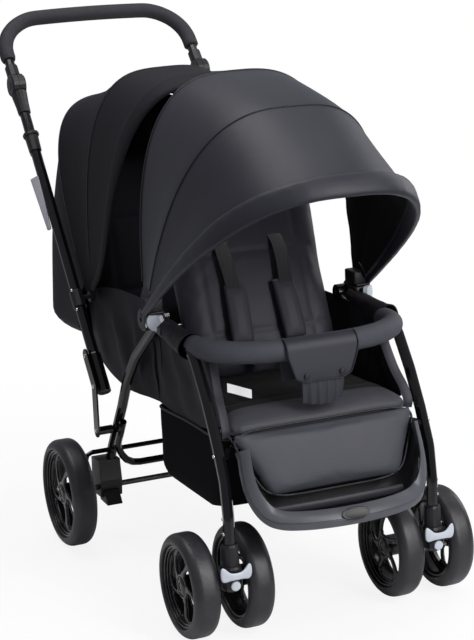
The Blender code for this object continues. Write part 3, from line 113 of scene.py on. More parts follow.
class Finish:
    """A surface finish, built up node by node on one shader."""

    def __init__(self, name, colour, roughness, **fixed):
        self.made = bpy.data.materials.new(name)
        self.made.use_nodes = True
        self.nodes, self.links = self.made.node_tree.nodes, self.made.node_tree.links
        self.shader = self.nodes["Principled BSDF"]
        self.feed(self.shader, {"Base Color": (*colour, 1.0), "Roughness": roughness})
        self.feed(self.shader, {name.replace("_", " "): value for name, value in fixed.items()})
        self.made.diffuse_color = (*colour, 1.0)

    def feed(self, node, sockets):
        for name, value in sockets.items():
            if isinstance(value, Reading):
                self.links.new(value.socket, node.inputs[name])
            else:
                node.inputs[name].default_value = value

    def add(self, kind, settings, sockets, out=0):
        node = self.nodes.new(kind)
        for name, value in settings.items():
            setattr(node, name, value)
        self.feed(node, sockets)
        return Reading(self, node.outputs[out])

    def here(self):
        """Where a point is on the stroller at rest, in metres."""
        return self.add("ShaderNodeTexCoord", {}, {}, 3)

    def parted(self, place):
        """The three numbers of a place."""
        split = self.nodes.new("ShaderNodeSeparateXYZ")
        self.feed(split, {0: place})
        return [Reading(self, split.outputs[i]) for i in range(3)]

    def cloud(self, size, detail=2.0):
        """Soft patches about size metres across, from 0 to 1."""
        values = {"Vector": self.here(), "Scale": 1.0 / size, "Detail": detail, "Roughness": 0.55}
        return self.add("ShaderNodeTexNoise", {}, values)

    def mixed(self, share, first, second):
        """A colour between two, by a share from 0 to 1."""
        values = {0: share, 6: (*first, 1.0), 7: (*second, 1.0)}
        return self.add("ShaderNodeMix", {"data_type": "RGBA"}, values, 2)

    def colour(self, reading):
        self.feed(self.shader, {"Base Color": reading})

    def roughness(self, reading):
        self.feed(self.shader, {"Roughness": reading.kept()})

    def relief(self, height, depth, strength=1.0):
        values = {"Height": height, "Distance": depth, "Strength": strength}
        self.feed(self.shader, {"Normal": self.add("ShaderNodeBump", {}, values)})


def spread(low, high, reading):
    """A reading from 0 to 1 laid out from low to high."""
    return low + (high - low) * reading


def weave(finish, thread):
    """Crossed threads that far apart, along all three directions, from -1 to 1."""
    waves = [(way * (math.tau / thread)).wave() for way in finish.parted(finish.here())]
    return (waves[0] + waves[1] + waves[2]) * 0.4


def woven(name, dark, light, rough, thread, **fixed):
    """Plain woven polyester: fine crossed threads, a soft satin face and slight clouding."""
    cloth = Finish(name, dark, rough, **fixed)
    cloud = cloth.cloud(0.11)
    fine = cloth.cloud(0.004)
    cloth.colour(cloth.mixed((cloud * 0.75 + fine * 0.25).kept(), dark, light))
    cloth.roughness(spread(rough - 0.07, rough + 0.07, cloud))
    cloth.relief(weave(cloth, thread) + cloth.cloud(0.009) * 1.2, 0.00012, 0.5)
    return cloth.made


RIB_GAP, CORD_GAP = 0.0017, 0.0030


def webbing(name, dark, light):
    """Flat woven tape with ribs across it, laid out along the tape."""
    tape = Finish(name, dark, 0.62, Sheen_Weight=0.15)
    run, width, _ = tape.parted(tape.add("ShaderNodeTexCoord", {}, {}, 2))
    ribs = (run * (math.tau / RIB_GAP)).wave()
    cords = (width * (math.tau / CORD_GAP)).wave()
    tape.colour(tape.mixed((ribs * 0.5 + 0.5).kept(), dark, light))
    tape.relief(ribs * 0.6 + cords * 0.4, 0.0004, 0.8)
    return tape.made


def moulded(name, colour, rough, grain, depth=0.00015, **fixed):
    """Moulded plastic with a fine grain."""
    plastic = Finish(name, colour, rough, **fixed)
    lighter = tuple(c * 1.35 + 0.002 for c in colour)
    plastic.colour(plastic.mixed(plastic.cloud(0.05, 3.0), colour, lighter))
    plastic.roughness(spread(rough - 0.06, rough + 0.08, plastic.cloud(0.02, 3.0)))
    plastic.relief(plastic.cloud(grain), depth, 0.6)
    return plastic.made


def painted_tube():
    """Black powder coat over steel tube: glossy, with faint orange peel and handling marks."""
    coat = Finish("frame_paint", (0.004, 0.004, 0.005), 0.20, Coat_Weight=0.20, Coat_Roughness=0.06,
                  Specular_IOR_Level=0.35)
    marks = coat.cloud(0.03, 4.0)
    coat.colour(coat.mixed(marks, (0.0025, 0.0025, 0.0032), (0.0060, 0.0060, 0.0072)))
    coat.roughness(spread(0.07, 0.13, marks))
    coat.relief(coat.cloud(0.0022, 1.0), 0.00006, 0.6)
    return coat.made


def tyre_rubber():
    """Foamed rubber: matt, slightly mottled, with a dusting of wear."""
    rubber = Finish("tyre_foam_rubber", (0.020, 0.019, 0.022), 0.42, Specular_IOR_Level=0.45)
    wear = rubber.cloud(0.018, 4.0)
    rubber.colour(rubber.mixed(wear, (0.013, 0.012, 0.015), (0.028, 0.026, 0.031)))
    rubber.roughness(spread(0.28, 0.52, wear))
    rubber.relief(rubber.cloud(0.0016) + rubber.cloud(0.008) * 1.5, 0.0003, 0.55)
    return rubber.made


def soft_foam(name, dark, light):
    """Closed-cell grip foam with a fine skin."""
    foam = Finish(name, dark, 0.7, Specular_IOR_Level=0.25)
    foam.colour(foam.mixed(foam.cloud(0.012, 3.0), dark, light))
    foam.roughness(spread(0.58, 0.78, foam.cloud(0.01)))
    foam.relief(foam.cloud(0.0012), 0.00025, 0.7)
    return foam.made


# where the seat's black panel, with painted shade under the bumper, begins behind the front axle
PANEL_SEAM, SEAM_SHARPNESS = 0.014, 260.0


def seat_cloth_with_painted_shade():
    """The seat's own cloth: satin over its front edge, and behind it a black panel sewn in, darkened further
    with painted shade under the bumper.
    """
    cloth = Finish("seat_base_satin_and_painted_shade", (0.048, 0.047, 0.058), 0.52, Specular_IOR_Level=0.25,
                   Sheen_Weight=0.04)
    past_seam_into_shade = cloth.parted(cloth.here())[1] - (FRONT_AXLE_Y + PANEL_SEAM)
    # behind the seam the colour turns near-black: partly the black panel sewn in there, partly painted shade
    # under the bumper
    behind = (past_seam_into_shade * SEAM_SHARPNESS).kept()
    front = cloth.mixed(cloth.cloud(0.09), (0.046, 0.045, 0.056), (0.056, 0.057, 0.068))
    # the near-black colour is the black panel, made darker than the black cloth as painted shade under the
    # bumper
    colours = {0: behind, 6: front, 7: (0.0040, 0.0036, 0.0050, 1.0)}
    cloth.colour(cloth.add("ShaderNodeMix", {"data_type": "RGBA"}, colours, 2))
    cloth.roughness(spread(0.48, 0.74, behind))
    cloth.relief(weave(cloth, 0.0015) + cloth.cloud(0.009) * 1.2, 0.00012, 0.5)
    return cloth.made


PAINT = painted_tube()
PLASTIC = moulded("fitting_plastic", (0.0095, 0.0090, 0.0110), 0.38, 0.0012, Specular_IOR_Level=0.4)
GLOSS = moulded("rim_gloss", (0.005, 0.005, 0.006), 0.16, 0.004, 0.00003, Specular_IOR_Level=0.45)
SILVER = moulded("lever_grey", (0.46, 0.49, 0.54), 0.34, 0.0015, 0.00006)
RUBBER = tyre_rubber()
GRIP = soft_foam("grip_foam", (0.026, 0.024, 0.029), (0.038, 0.036, 0.042))
BUMPER = soft_foam("bumper_foam", (0.054, 0.054, 0.068), (0.070, 0.070, 0.086))
TRAY = moulded("footrest_grey", (0.070, 0.072, 0.084), 0.34, 0.0014, Specular_IOR_Level=0.4)
TRAY_DARK = moulded("footrest_step_grey", (0.030, 0.030, 0.036), 0.45, 0.0014, Specular_IOR_Level=0.3)
STRIP = moulded("latch_grey", (0.33, 0.32, 0.36), 0.42, 0.0014, Specular_IOR_Level=0.4)
STEEL = moulded("axle_steel", (0.06, 0.06, 0.065), 0.35, 0.003, 0.00004, Metallic=0.9)
RIVET = moulded("rivet_zinc", (0.62, 0.62, 0.64), 0.25, 0.002, 0.00004, Metallic=1.0)
SATIN = dict(Specular_IOR_Level=0.3, Sheen_Weight=0.05, Sheen_Roughness=0.35,
             Sheen_Tint=(0.80, 0.86, 1.0, 1.0))
MATT = dict(Specular_IOR_Level=0.2)
HOOD = woven("hood_satin", (0.020, 0.018, 0.028), (0.025, 0.026, 0.035), 0.44, 0.0014, **SATIN)
LINING = woven("hood_lining", (0.005, 0.005, 0.007), (0.010, 0.010, 0.012), 0.75, 0.0012, **MATT)
SEAT = woven("seat_satin", (0.032, 0.031, 0.041), (0.038, 0.039, 0.050), 0.50, 0.0015, **SATIN)
SEAT_BASE_WITH_SHADE = seat_cloth_with_painted_shade()
CALF_CLOTH = woven("calf_satin", (0.049, 0.048, 0.062), (0.055, 0.058, 0.069), 0.50, 0.0015, **SATIN)
BLACK = woven("black_cloth", (0.0085, 0.0075, 0.0110), (0.0135, 0.0125, 0.0170), 0.66, 0.0013, **MATT)
BASKET_CLOTH = woven("basket_cloth_black", (0.0022, 0.0019, 0.0030), (0.0036, 0.0032, 0.0046), 0.85, 0.0014,
                     Specular_IOR_Level=0.08)
TUB_CLOTH = woven("tub_cloth_black", (0.0065, 0.0058, 0.0085), (0.0100, 0.0092, 0.0130), 0.58, 0.0013,
                  **MATT)
TAPE = webbing("black_tape", (0.008, 0.008, 0.010), (0.016, 0.016, 0.019))
PIPING = woven("piping_satin", (0.012, 0.011, 0.015), (0.020, 0.020, 0.026), 0.40, 0.0011, **SATIN)
TAG = woven("blank_tag", (0.72, 0.72, 0.73), (0.82, 0.82, 0.82), 0.75, 0.0009)


# soft goods, made row by row


def made_piece(name, bm, surfaces, body=None, crease=50.0):
    """A finished mesh as an object at the origin, riding on its body."""
    mesh = bpy.data.meshes.new(name)
    bm.to_mesh(mesh)
    bm.free()
    for surface in surfaces if isinstance(surfaces, (list, tuple)) else [surfaces]:
        mesh.materials.append(surface)
    mesh.shade_smooth()
    mesh.set_sharp_from_angle(angle=math.radians(crease))
    piece = bpy.data.objects.new(name, mesh)
    bpy.context.scene.collection.objects.link(piece)
    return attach(piece, body) if body else piece


def row_normals(rows, centre):
    """The direction square to a grid of points at each of them, away from a centre."""
    count, width = len(rows), len(rows[0])
    normals, total = [], 0.0
    for j in range(count):
        line = []
        for i in range(width):
            along = rows[min(j + 1, count - 1)][i] - rows[max(j - 1, 0)][i]
            across = rows[j][min(i + 1, width - 1)] - rows[j][max(i - 1, 0)]
            square = along.cross(across)
            line.append(square.normalized() if square.length > 1e-12 else Vector((0, 0, 1)))
            total += square.dot(rows[j][i] - centre)
        normals.append(line)
    if total < 0:
        normals = [[-n for n in line] for line in normals]
    return normals


def rim_of_grid(rows, columns):
    """The places (row, column) round the edge of a grid, one after the other."""
    ring = [(0, i) for i in range(columns)] + [(j, columns) for j in range(rows)]
    return ring + [(rows, i) for i in range(columns, 0, -1)] + [(j, 0) for j in range(rows, 0, -1)]


def cloth_sheet(rows, thick, centre, lining_wrinkle=0.0):
    """A sheet of cloth over rows of points: an outer skin, a lining skin and a turned edge."""
    normals = row_normals(rows, centre)
    bm = bmesh.new()
    length, width = len(rows), len(rows[0])
    skins = []
    for depth in (0.0, thick):
        skin = []
        for line, line_normals in zip(rows, normals):
            made = []
            for p, n in zip(line, line_normals):
                sink = depth
                if depth and lining_wrinkle:
                    sink += lining_wrinkle * max(0.0, noise.noise(p * 24.0) + noise.noise(p * 55.0) * 0.5)
                made.append(bm.verts.new(p - n * sink))
            skin.append(made)
        skins.append(skin)
    for index, skin in enumerate(skins):
        for j in range(length - 1):
            for i in range(width - 1):
                corners = (skin[j][i], skin[j][i + 1], skin[j + 1][i + 1], skin[j + 1][i])
                bm.faces.new(corners if index else corners[::-1]).material_index = index
    edge = rim_of_grid(length - 1, width - 1)
    for (j, i), (m, n) in zip(edge, edge[1:] + edge[:1]):
        bm.faces.new((skins[0][j][i], skins[0][m][n], skins[1][m][n], skins[1][j][i]))
    bmesh.ops.recalc_face_normals(bm, faces=bm.faces)
    return bm


def band(bm, first, second):
    """A ring of faces between two closed loops of points."""
    for s in range(len(first)):
        t = (s + 1) % len(first)
        bm.faces.new((first[s], first[t], second[t], second[s]))


def heading(path, i):
    """Which way a line of points runs at one of them."""
    return (path[min(i + 1, len(path) - 1)] - path[max(i - 1, 0)]).normalized()


def carried_axes(path, hint=Vector((1, 0, 0))):
    """Two axes square to a path at each point, turned as little as possible along it."""
    axes, side = [], None
    for i in range(len(path)):
        tangent = heading(path, i)
        if side is None:
            side = hint if abs(tangent.dot(hint)) < 0.9 else Vector((0, 0, 1))
        side = (side - tangent * side.dot(tangent)).normalized()
        axes.append((side, tangent.cross(side).normalized()))
    return axes


def roll(path, section, hint=Vector((1, 0, 0)), axes=None):
    """A closed skin drawn along a path. section(share) gives the points of its profile as (side, up)."""
    path = [Vector(p) for p in path]
    axes = axes or carried_axes(path, hint)
    bm = bmesh.new()
    uv = bm.loops.layers.uv.new("along")
    sides = len(section(0.0))
    rings, travelled = [], [0.0]
    for k, (point, (u, v)) in enumerate(zip(path, axes)):
        if k:
            travelled.append(travelled[-1] + (point - path[k - 1]).length)
        rings.append([bm.verts.new(point + u * a + v * b) for a, b in section(k / (len(path) - 1))])
    for k, (a, b) in enumerate(zip(rings, rings[1:])):
        for s in range(sides):
            t = (s + 1) % sides
            face = bm.faces.new((a[s], a[t], b[t], b[s]))
            girth = [0.0, (a[s].co - a[t].co).length]
            for loop, (u, v) in zip(face.loops, ((k, 0), (k, 1), (k + 1, 1), (k + 1, 0))):
                loop[uv].uv = (travelled[u], s * 0.004 + girth[v])
    bm.faces.new(rings[0][::-1])
    bm.faces.new(rings[-1])
    bmesh.ops.recalc_face_normals(bm, faces=bm.faces)
    return bm


def turns(sides):
    """The turns at which the corners of a round profile lie."""
    return [math.tau * (s + 0.5) / sides for s in range(sides)]


def round_section(radius, sides=16, flat=1.0):
    """A round profile, the same all along."""
    points = [(radius * math.cos(turn) * flat, radius * math.sin(turn)) for turn in turns(sides)]
    return lambda share: points


def tape_section(width, thick):
    """A flat profile with softened edges, the same all along."""
    half, t = width / 2, thick / 2
    points = [(-half, -t * 0.4), (-half + t, -t), (half - t, -t), (half, -t * 0.4)]
    points += [(half, t * 0.4), (half - t, t), (-half + t, t), (-half, t * 0.4)]
    return lambda share: points


def flowing(points, steps=8):
    """A smooth line through points."""
    points = [Vector(p) for p in points]
    ends = [points[0] * 2 - points[1]] + points + [points[-1] * 2 - points[-2]]
    line = []
    for a, b, c, d in zip(ends, ends[1:], ends[2:], ends[3:]):
        for k in range(steps):
            t = k / steps
            bent = (2 * a - 5 * b + 4 * c - d) * t * t + (3 * b - a - 3 * c + d) * t**3
            line.append(0.5 * (2 * b + (c - a) * t + bent))
    return line + [points[-1]]


def rounded(points, bend, steps=8):
    """A line of straight runs with each inner corner turned into an arc, as a tube is bent."""
    points = [Vector(p) for p in points]
    path, last_corner = [points[0]], len(points) - 3
    for index, (before, corner, after) in enumerate(zip(points, points[1:], points[2:])):
        a, b = (before - corner), (after - corner)
        half = a.angle(b) / 2
        room = min(a.length * (0.48 if index else 0.96), b.length * (0.48 if index < last_corner else 0.96))
        reach = min(bend / math.tan(half), room)
        radius = reach * math.tan(half)
        centre = corner + (a.normalized() + b.normalized()).normalized() * (radius / math.sin(half))
        first, last = corner + a.normalized() * reach - centre, corner + b.normalized() * reach - centre
        path += [centre + first.slerp(last, i / steps).normalized() * radius for i in range(steps + 1)]
    return path + [points[-1]]


def evenly(path, gap):
    """The same line with points that far apart."""
    line, left = [path[0]], gap
    for a, b in zip(path, path[1:]):
        length = (b - a).length
        while left <= length:
            line.append(a.lerp(b, left / length))
            left += gap
        left -= length
    if (line[-1] - path[-1]).length > gap * 0.3:
        line.append(path[-1])
    return line


def signed_power(value, exponent):
    return math.copysign(abs(value) ** exponent, value)


# hoods


def bow_point(hub, bow, turn):
    """A point of a hood bow, where turn runs from 0 at its right foot to pi at its left one."""
    pitch, height, half, square = bow
    across = signed_power(math.cos(turn), 2 / square)
    up = height * abs(math.sin(turn)) ** (2 / square)
    return at(-half * across, hub[0] + up * math.cos(pitch), hub[1] + up * math.sin(pitch))


def turn_along(bow, foot, share):
    """The turn a share of the way along a bow that starts and ends at a height above its hub."""
    begin = math.asin(min(1.0, foot / bow[1]) ** (bow[3] / 2))
    return begin + (math.pi - 2 * begin) * share


def billowed(point, hub, amount):
    """Push a point of a hood's edge forward where the cloth stands off its bow, just above the feet."""
    height = max(0.0, point.z - hub[1]) / 0.105
    return point - Vector((0, amount * height * math.exp(1 - height), 0))


HOOD_PARTS = 9


def hood_cloth(name, hub, bows, foot, surface, sags, pleats, billow, around=110):
    """The cloth of a hood: one sheet over its bows that dips between them and gathers towards its feet."""
    rows = []
    for index, (first, second) in enumerate(zip(bows, bows[1:])):
        for k in range(HOOD_PARTS + (index == len(bows) - 2)):
            share = k / HOOD_PARTS
            bow = tuple(a + (b - a) * share for a, b in zip(first, second))
            row = []
            for i in range(around + 1):
                turn = turn_along(bow, foot, i / around)
                dip = sags[index] * math.sin(math.pi * share) * math.sin(turn) ** 0.5
                low = max(0.0, 1 - math.sin(turn) * 1.15) ** 1.5
                fold = pleats * low * math.sin(math.tau * (share * 2.0 + index * 0.5) + 2.0 * math.cos(turn))
                stray = 0.0011 * noise.noise(bow_point(hub, bow, turn) * 13.0)
                slack = dip - fold + stray
                slack_bow = (bow[0], bow[1] - slack, bow[2] - 0.5 * dip - abs(fold) * 0.3, bow[3])
                push = billow * ((index + share) / (len(bows) - 1)) ** 2
                row.append(billowed(bow_point(hub, slack_bow, turn), hub, push))
            rows.append(row)
    return made_piece(name, cloth_sheet(rows, 0.0022, at(0, *hub), 0.0030), [surface, LINING]), rows


def hood_roll(name, hub, bow, foot, surface, body, half, deep, billow, steps=120):
    """The padded front edge of a hood: a flat roll of cloth sewn over the last bow."""
    line = [bow_point(hub, bow, turn_along(bow, foot, k / steps)) for k in range(steps + 1)]
    path = [billowed(p, hub, billow) for p in line]
    forward = Vector((0, -math.sin(bow[0]), math.cos(bow[0])))
    axes = [(forward, heading(path, k).cross(forward).normalized()) for k in range(steps + 1)]

    def section(share):
        grow = min(1.0, 0.36 + 3.0 * min(share, 1 - share))
        points = []
        for s, turn in enumerate(turns(20)):
            a = half * grow * signed_power(math.cos(turn), 0.72)
            b = deep * (0.5 + 0.5 * grow) * signed_power(math.sin(turn), 0.85)
            b += 0.0007 * noise.noise(Vector((share * 60.0, s * 0.5, 3.0)))
            points.append((a, b))
        return points

    return made_piece(name, roll(path, section, axes=axes), surface, body, 60)


front_cloth, front_rows = hood_cloth("front_hood_cloth", FRONT_HUB, FRONT_BOWS, 0.0196, HOOD,
                                     (0.009, 0.009), 0.0035, 0.0)
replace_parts(front_cloth, "front_canopy_shade")
rear_cloth, rear_rows = hood_cloth("rear_hood_cloth", REAR_HUB, REAR_BOWS, 0.0106, BLACK, (0.021, 0.010),
                                   0.0040, 0.052)
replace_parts(rear_cloth, "rear_canopy_shade")
front_edge = hood_roll("front_hood_edge", FRONT_HUB, FRONT_RIM, 0.023, HOOD, "front_canopy", 0.0185, 0.0070,
                       0.0)
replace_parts(front_edge, "front_canopy_rim")
rear_edge = hood_roll("rear_hood_edge", REAR_HUB, REAR_RIM, 0.023, BLACK, "rear_canopy", 0.0180, 0.0055,
                      0.052)
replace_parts(rear_edge, "rear_canopy_rim")


def seam_cord(name, rows, index, lift, radius):
    """Piping sewn along one row of a hood, from just inside one foot to just inside the other."""
    normals = row_normals(rows, at(0, 0.4, 0.45))
    line = [p + n * lift for p, n in zip(rows[index], normals[index])][2:-2]
    return made_piece(name, roll(line, round_section(radius, 8)), PIPING)


hood_seams = [
    seam_cord("front_hood_middle_piping", front_rows, HOOD_PARTS, 0.0004, 0.0014),
    seam_cord("front_hood_rear_piping", front_rows, 0, 0.0004, 0.0016),
    seam_cord("front_hood_front_piping", front_rows, 2 * HOOD_PARTS, 0.0006, 0.0016),
]
rear_seams = [
    seam_cord("rear_hood_middle_piping", rear_rows, HOOD_PARTS, 0.0004, 0.0014),
    seam_cord("rear_hood_rear_piping", rear_rows, 0, 0.0004, 0.0014),
]
crown = [bow_point(FRONT_HUB, bow, math.pi / 2) for bow in FRONT_BOWS]
for piece in [front_cloth] + hood_seams:
    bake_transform(piece)
crown = [bow_point(REAR_HUB, bow, math.pi / 2) for bow in REAR_BOWS]
for piece in [rear_cloth] + rear_seams:
    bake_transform(piece)


# seats


def leaned(hinge):
    """The place of a pad that stands on its hinge: x across, y up along it, z out of its face."""
    return Matrix.Translation(at(0, hinge[0], hinge[1])) @ Matrix.Rotation(hinge[2], 4, "X")


def drawn_in(v, corner, root, taper):
    """The share of its half width that a pad keeps at v, which runs from -1 at its foot to 1 at its top."""
    return (1 - 0.045 * abs(v) ** corner) * (1 - root * max(0.0, v)) * (1 - taper * (v + 1) / 2)


def pad(half, length, thick, crown, root=0.0, rows=30, columns=26, corner=5.0, inset=0.0, taper=0.0):
    """A stuffed pad lying on its flat back: its face is crowned, its sides are drawn in between corners."""
    bm = bmesh.new()
    half, low, high = half - inset, inset, length - inset
    face, back = [], []
    for j in range(rows + 1):
        v = -math.cos(math.pi * j / rows)
        top, bottom = [], []
        for i in range(columns + 1):
            u = -math.cos(math.pi * i / columns)
            x = half * u * drawn_in(v, corner, root, taper)
            y = low + (high - low) * (0.5 + 0.5 * v * (1 - 0.030 * abs(u) ** corner))
            edge = max(0.0, 1 - abs(u) ** 6) ** 0.5 * max(0.0, 1 - abs(v) ** 6) ** 0.5
            swell = thick * (0.34 + 0.66 * edge) + crown * (1 - u * u) * (1 - v * v)
            top.append(bm.verts.new((x, y, swell)))
            tuck = 0.0 if 0 < i < columns and 0 < j < rows else 0.12 * thick
            bottom.append(bm.verts.new((x * (1 - tuck / half), y, 0.0)))
        face.append(top)
        back.append(bottom)
    for j in range(rows):
        for i in range(columns):
            bm.faces.new((face[j][i], face[j][i + 1], face[j + 1][i + 1], face[j + 1][i]))
            bm.faces.new((back[j][i], back[j + 1][i], back[j + 1][i + 1], back[j][i + 1]))
    ring = rim_of_grid(rows, columns)
    for (j, i), (m, n) in zip(ring, ring[1:] + ring[:1]):
        bm.faces.new((face[j][i], back[j][i], back[m][n], face[m][n]))
    bmesh.ops.recalc_face_normals(bm, faces=bm.faces)
    return bm


def soften(piece, levels):
    """Round a piece off all over."""
    finer = piece.modifiers.new("finer", "SUBSURF")
    finer.levels = finer.render_levels = levels
    bpy.ops.object.modifier_apply(modifier=finer.name)


BLOW_FRAMES = 20


def stuffed(piece, voxel, cap):
    """Blow a pad up as its stuffing would, with no point moving further than a cap or below the back."""
    bpy.ops.object.select_all(action="DESELECT")
    bpy.context.view_layer.objects.active = piece
    piece.select_set(True)
    remesh = piece.modifiers.new("voxels", "REMESH")
    remesh.mode, remesh.voxel_size = "VOXEL", voxel
    bpy.ops.object.modifier_apply(modifier=remesh.name)
    before = [v.co.copy() for v in piece.data.vertices]
    cloth = piece.modifiers.new("cloth", "CLOTH")
    cloth.settings.use_pressure = True
    cloth.settings.uniform_pressure_force = 4.0
    cloth.settings.effector_weights.gravity = 0.0
    cloth.point_cache.frame_start, cloth.point_cache.frame_end = 1, BLOW_FRAMES
    for step in range(1, BLOW_FRAMES + 1):
        bpy.context.scene.frame_set(step)
    graph = bpy.context.evaluated_depsgraph_get()
    blown = [v.co.copy() for v in piece.evaluated_get(graph).data.vertices]
    piece.modifiers.remove(cloth)
    bpy.context.scene.frame_set(1)
    for vert, old, new in zip(piece.data.vertices, before, blown):
        move = new - old
        if move.length > cap:
            move = move.normalized() * cap
        vert.co = old + move
        vert.co.z = max(vert.co.z, 0.0)
    smooth = piece.modifiers.new("smooth", "SMOOTH")
    smooth.factor, smooth.iterations = 0.5, 3
    bpy.ops.object.modifier_apply(modifier=smooth.name)
    soften(piece, 1)


def sewn(piece, lines, crease=0.0016, wide=0.006, rumple=0.0008, grain=30.0, top=0.004):
    """Sew a pad: press each line into its face and rumple the cloth a little, most of all by the seams."""
    for vert in piece.data.vertices:
        p = vert.co
        if p.z < top:
            continue
        near, push = 1.0, 0.0
        for (x0, y0), (x1, y1) in lines:
            run = Vector((x1 - x0, y1 - y0))
            share = min(1.0, max(0.0, ((p.x - x0) * run.x + (p.y - y0) * run.y) / run.length_squared))
            gap = math.hypot(p.x - x0 - run.x * share, p.y - y0 - run.y * share)
            near = min(near, gap / 0.03)
            push = max(push, math.exp(-((gap / wide) ** 2)))
        stir = noise.noise(Vector((p.x, p.y, 0.3)) * grain)
        stir += 0.5 * noise.noise(Vector((p.x, p.y, 0.7)) * grain * 2.3)
        vert.co.z -= crease * push + rumple * stir * (1.3 - min(1.0, near) * 0.6)


def stand(piece, place, body):
    """Put a pad made lying down in its place, and let it ride."""
    piece.data.transform(place)
    piece.data.shade_smooth()
    piece.data.set_sharp_from_angle(angle=math.radians(60))
    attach(piece, body)


def cushion(name, mesh, surface, cap, seams, place, body, node):
    """A pad stuffed, sewn along its seams and stood in its place, shown for a piece of the frame."""
    piece = made_piece(name, mesh, surface)
    stuffed(piece, 0.005, cap)
    sewn(piece, seams)
    stand(piece, place, body)
    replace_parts(piece, node)
    return piece


def pad_outline(half, length, level, corner, taper, out, steps=60):
    """The line round the sides of a pad, at a level above its back, where its piping runs."""
    points = []
    for k in range(steps):
        turn = math.tau * k / steps
        u, v = signed_power(math.cos(turn), 0.30), signed_power(math.sin(turn), 0.30)
        x = (half + out) * u * drawn_in(v, corner, 0.0, taper)
        y = length * (0.5 + 0.5 * v * (1 - 0.030 * abs(u) ** corner)) + out * v
        points.append((x, y, level))
    return points


BACK_SEAMS = [((-0.115, 0.075), (0.115, 0.075)), ((-0.11, 0.205), (0.11, 0.205))]
BACK_SEAMS += [((-0.092, 0.0), (-0.088, 0.34)), ((0.092, 0.0), (0.088, 0.34))]
SEAT_SEAMS = [((-0.12, 0.085), (0.12, 0.085)), ((-0.10, 0.085), (-0.10, 0.30)),
              ((0.10, 0.085), (0.10, 0.30))]
REAR_SEAT_SEAMS = [((-0.12, 0.15), (0.12, 0.15))]

back_pad = cushion(
    "front_back_pad", pad(0.1400, 0.335, 0.026, 0.004, root=-0.06, inset=0.003), SEAT, 0.006,
    BACK_SEAMS, leaned(FRONT_BACK), "front_back", "front_backrest")
rear_back_pad = cushion(
    "rear_back_pad", pad(0.131, 0.340, 0.026, 0.004, root=-0.08, inset=0.003), BLACK, 0.006,
    BACK_SEAMS, leaned(REAR_BACK), "rear_back", "rear_backrest")
seat_pad = cushion(
    "front_seat_pad", pad(0.1595, 0.340, 0.0300, 0.0, columns=24, corner=18.0, inset=0.003, taper=0.10),
    SEAT_BASE_WITH_SHADE, 0.004, SEAT_SEAMS, Matrix.Translation(at(0, -0.040, 0.3140)), "front_frame", "front_seat")
rear_seat_pad = cushion(
    "rear_seat_pad", pad(0.1405, 0.303, 0.0300, 0.003, rows=28, columns=24, inset=0.003), BLACK, 0.004,
    REAR_SEAT_SEAMS, Matrix.Translation(at(0, 0.325, 0.3135)), "front_frame", "rear_seat")

CALF_HALF, CALF_LENGTH, CALF_THICK, CALF_CORNER, CALF_TAPER = 0.1610, 0.107, 0.0125, 9.0, 0.29
calf_mesh = pad(CALF_HALF, CALF_LENGTH, CALF_THICK, 0.002,
                rows=22, columns=40, corner=CALF_CORNER, inset=0.001, taper=CALF_TAPER)
calf_pad = made_piece("calf_pad", calf_mesh, CALF_CLOTH)
stuffed(calf_pad, 0.004, 0.003)
sewn(calf_pad, [((-0.130, 0.012), (0.130, 0.012))], 0.0008, 0.004, 0.0005, 22.0)
calf_place = leaned(CALF) @ Matrix.Translation((0, 0, 0.0065)) @ Matrix.Scale(-1, 4, (0, 0, 1))
calf_pad.data.transform(calf_place)
calf_pad.data.flip_normals()
calf_pad.data.shade_smooth()
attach(calf_pad, "calf")
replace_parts(calf_pad, "calf_rest")
calf_line = pad_outline(CALF_HALF, CALF_LENGTH, CALF_THICK * 0.30, CALF_CORNER, CALF_TAPER, 0.0002)
calf_piping = made_piece("calf_piping", roll(calf_line + calf_line[:1], round_section(0.0019, 8)), PIPING)
calf_piping.data.transform(calf_place)
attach(calf_piping, "calf")


def tape(name, points, width, thick, body, across=Vector((1, 0, 0)), surface=TAPE):
    """A length of webbing along a smooth line, its width lying across."""
    return made_piece(name, roll(flowing(points), tape_section(width, thick), across), surface, body)


def on_front_back(side, run):
    """A line of the harness, given as across, up along and out of the front backrest, on one side."""
    return [leaned(FRONT_BACK) @ Vector((side * x, along, out)) for x, along, out in run]


SIDES = ((-1, "right"), (1, "left"))
SHOULDER_RUN = [(0.048, 0.232, 0.024), (0.049, 0.226, 0.036), (0.050, 0.200, 0.046)]
SHOULDER_RUN += [(0.048, 0.165, 0.050), (0.046, 0.130, 0.049)]
BELT_RUN = [(0.046, 0.080, 0.047), (0.044, 0.050, 0.044), (0.030, 0.030, 0.041), (0.014, 0.022, 0.040)]
SHOULDER_SEAMS = [((-0.013, 0.008), (-0.013, 0.092)), ((0.013, 0.008), (0.013, 0.092))]
SHOULDER_SEAMS += [((-0.013, 0.092), (0.013, 0.092))]
for side, name in SIDES:
    tape("shoulder_tape_" + name, on_front_back(side, SHOULDER_RUN), 0.024, 0.0016, "front_back")
    tape("belt_tape_" + name, on_front_back(side, BELT_RUN), 0.024, 0.0016, "front_back")
    shoulder_pad = made_piece("shoulder_pad_" + name, pad(0.0195, 0.100, 0.010, 0.002, rows=20, columns=14),
                              SEAT)
    sewn(shoulder_pad, SHOULDER_SEAMS, 0.0012, 0.002, 0.0004, 60.0, 0.002)
    askew = Matrix.Rotation(math.radians(2.5 * side), 4, "Z")
    stand(shoulder_pad, leaned(FRONT_BACK) @ Matrix.Translation((side * 0.047, 0.052, 0.042)) @ askew,
          "front_back")
    if side < 0:
        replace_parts(shoulder_pad, "front_harness")


# bumper, flap and sleeves


def mirrored(run, middle):
    """A line that starts at the right-hand end of a run, crosses a middle point and ends at the left."""
    return [at(-x, y, z) for x, y, z in run] + [at(*middle)] + [at(x, y, z) for x, y, z in run[::-1]]


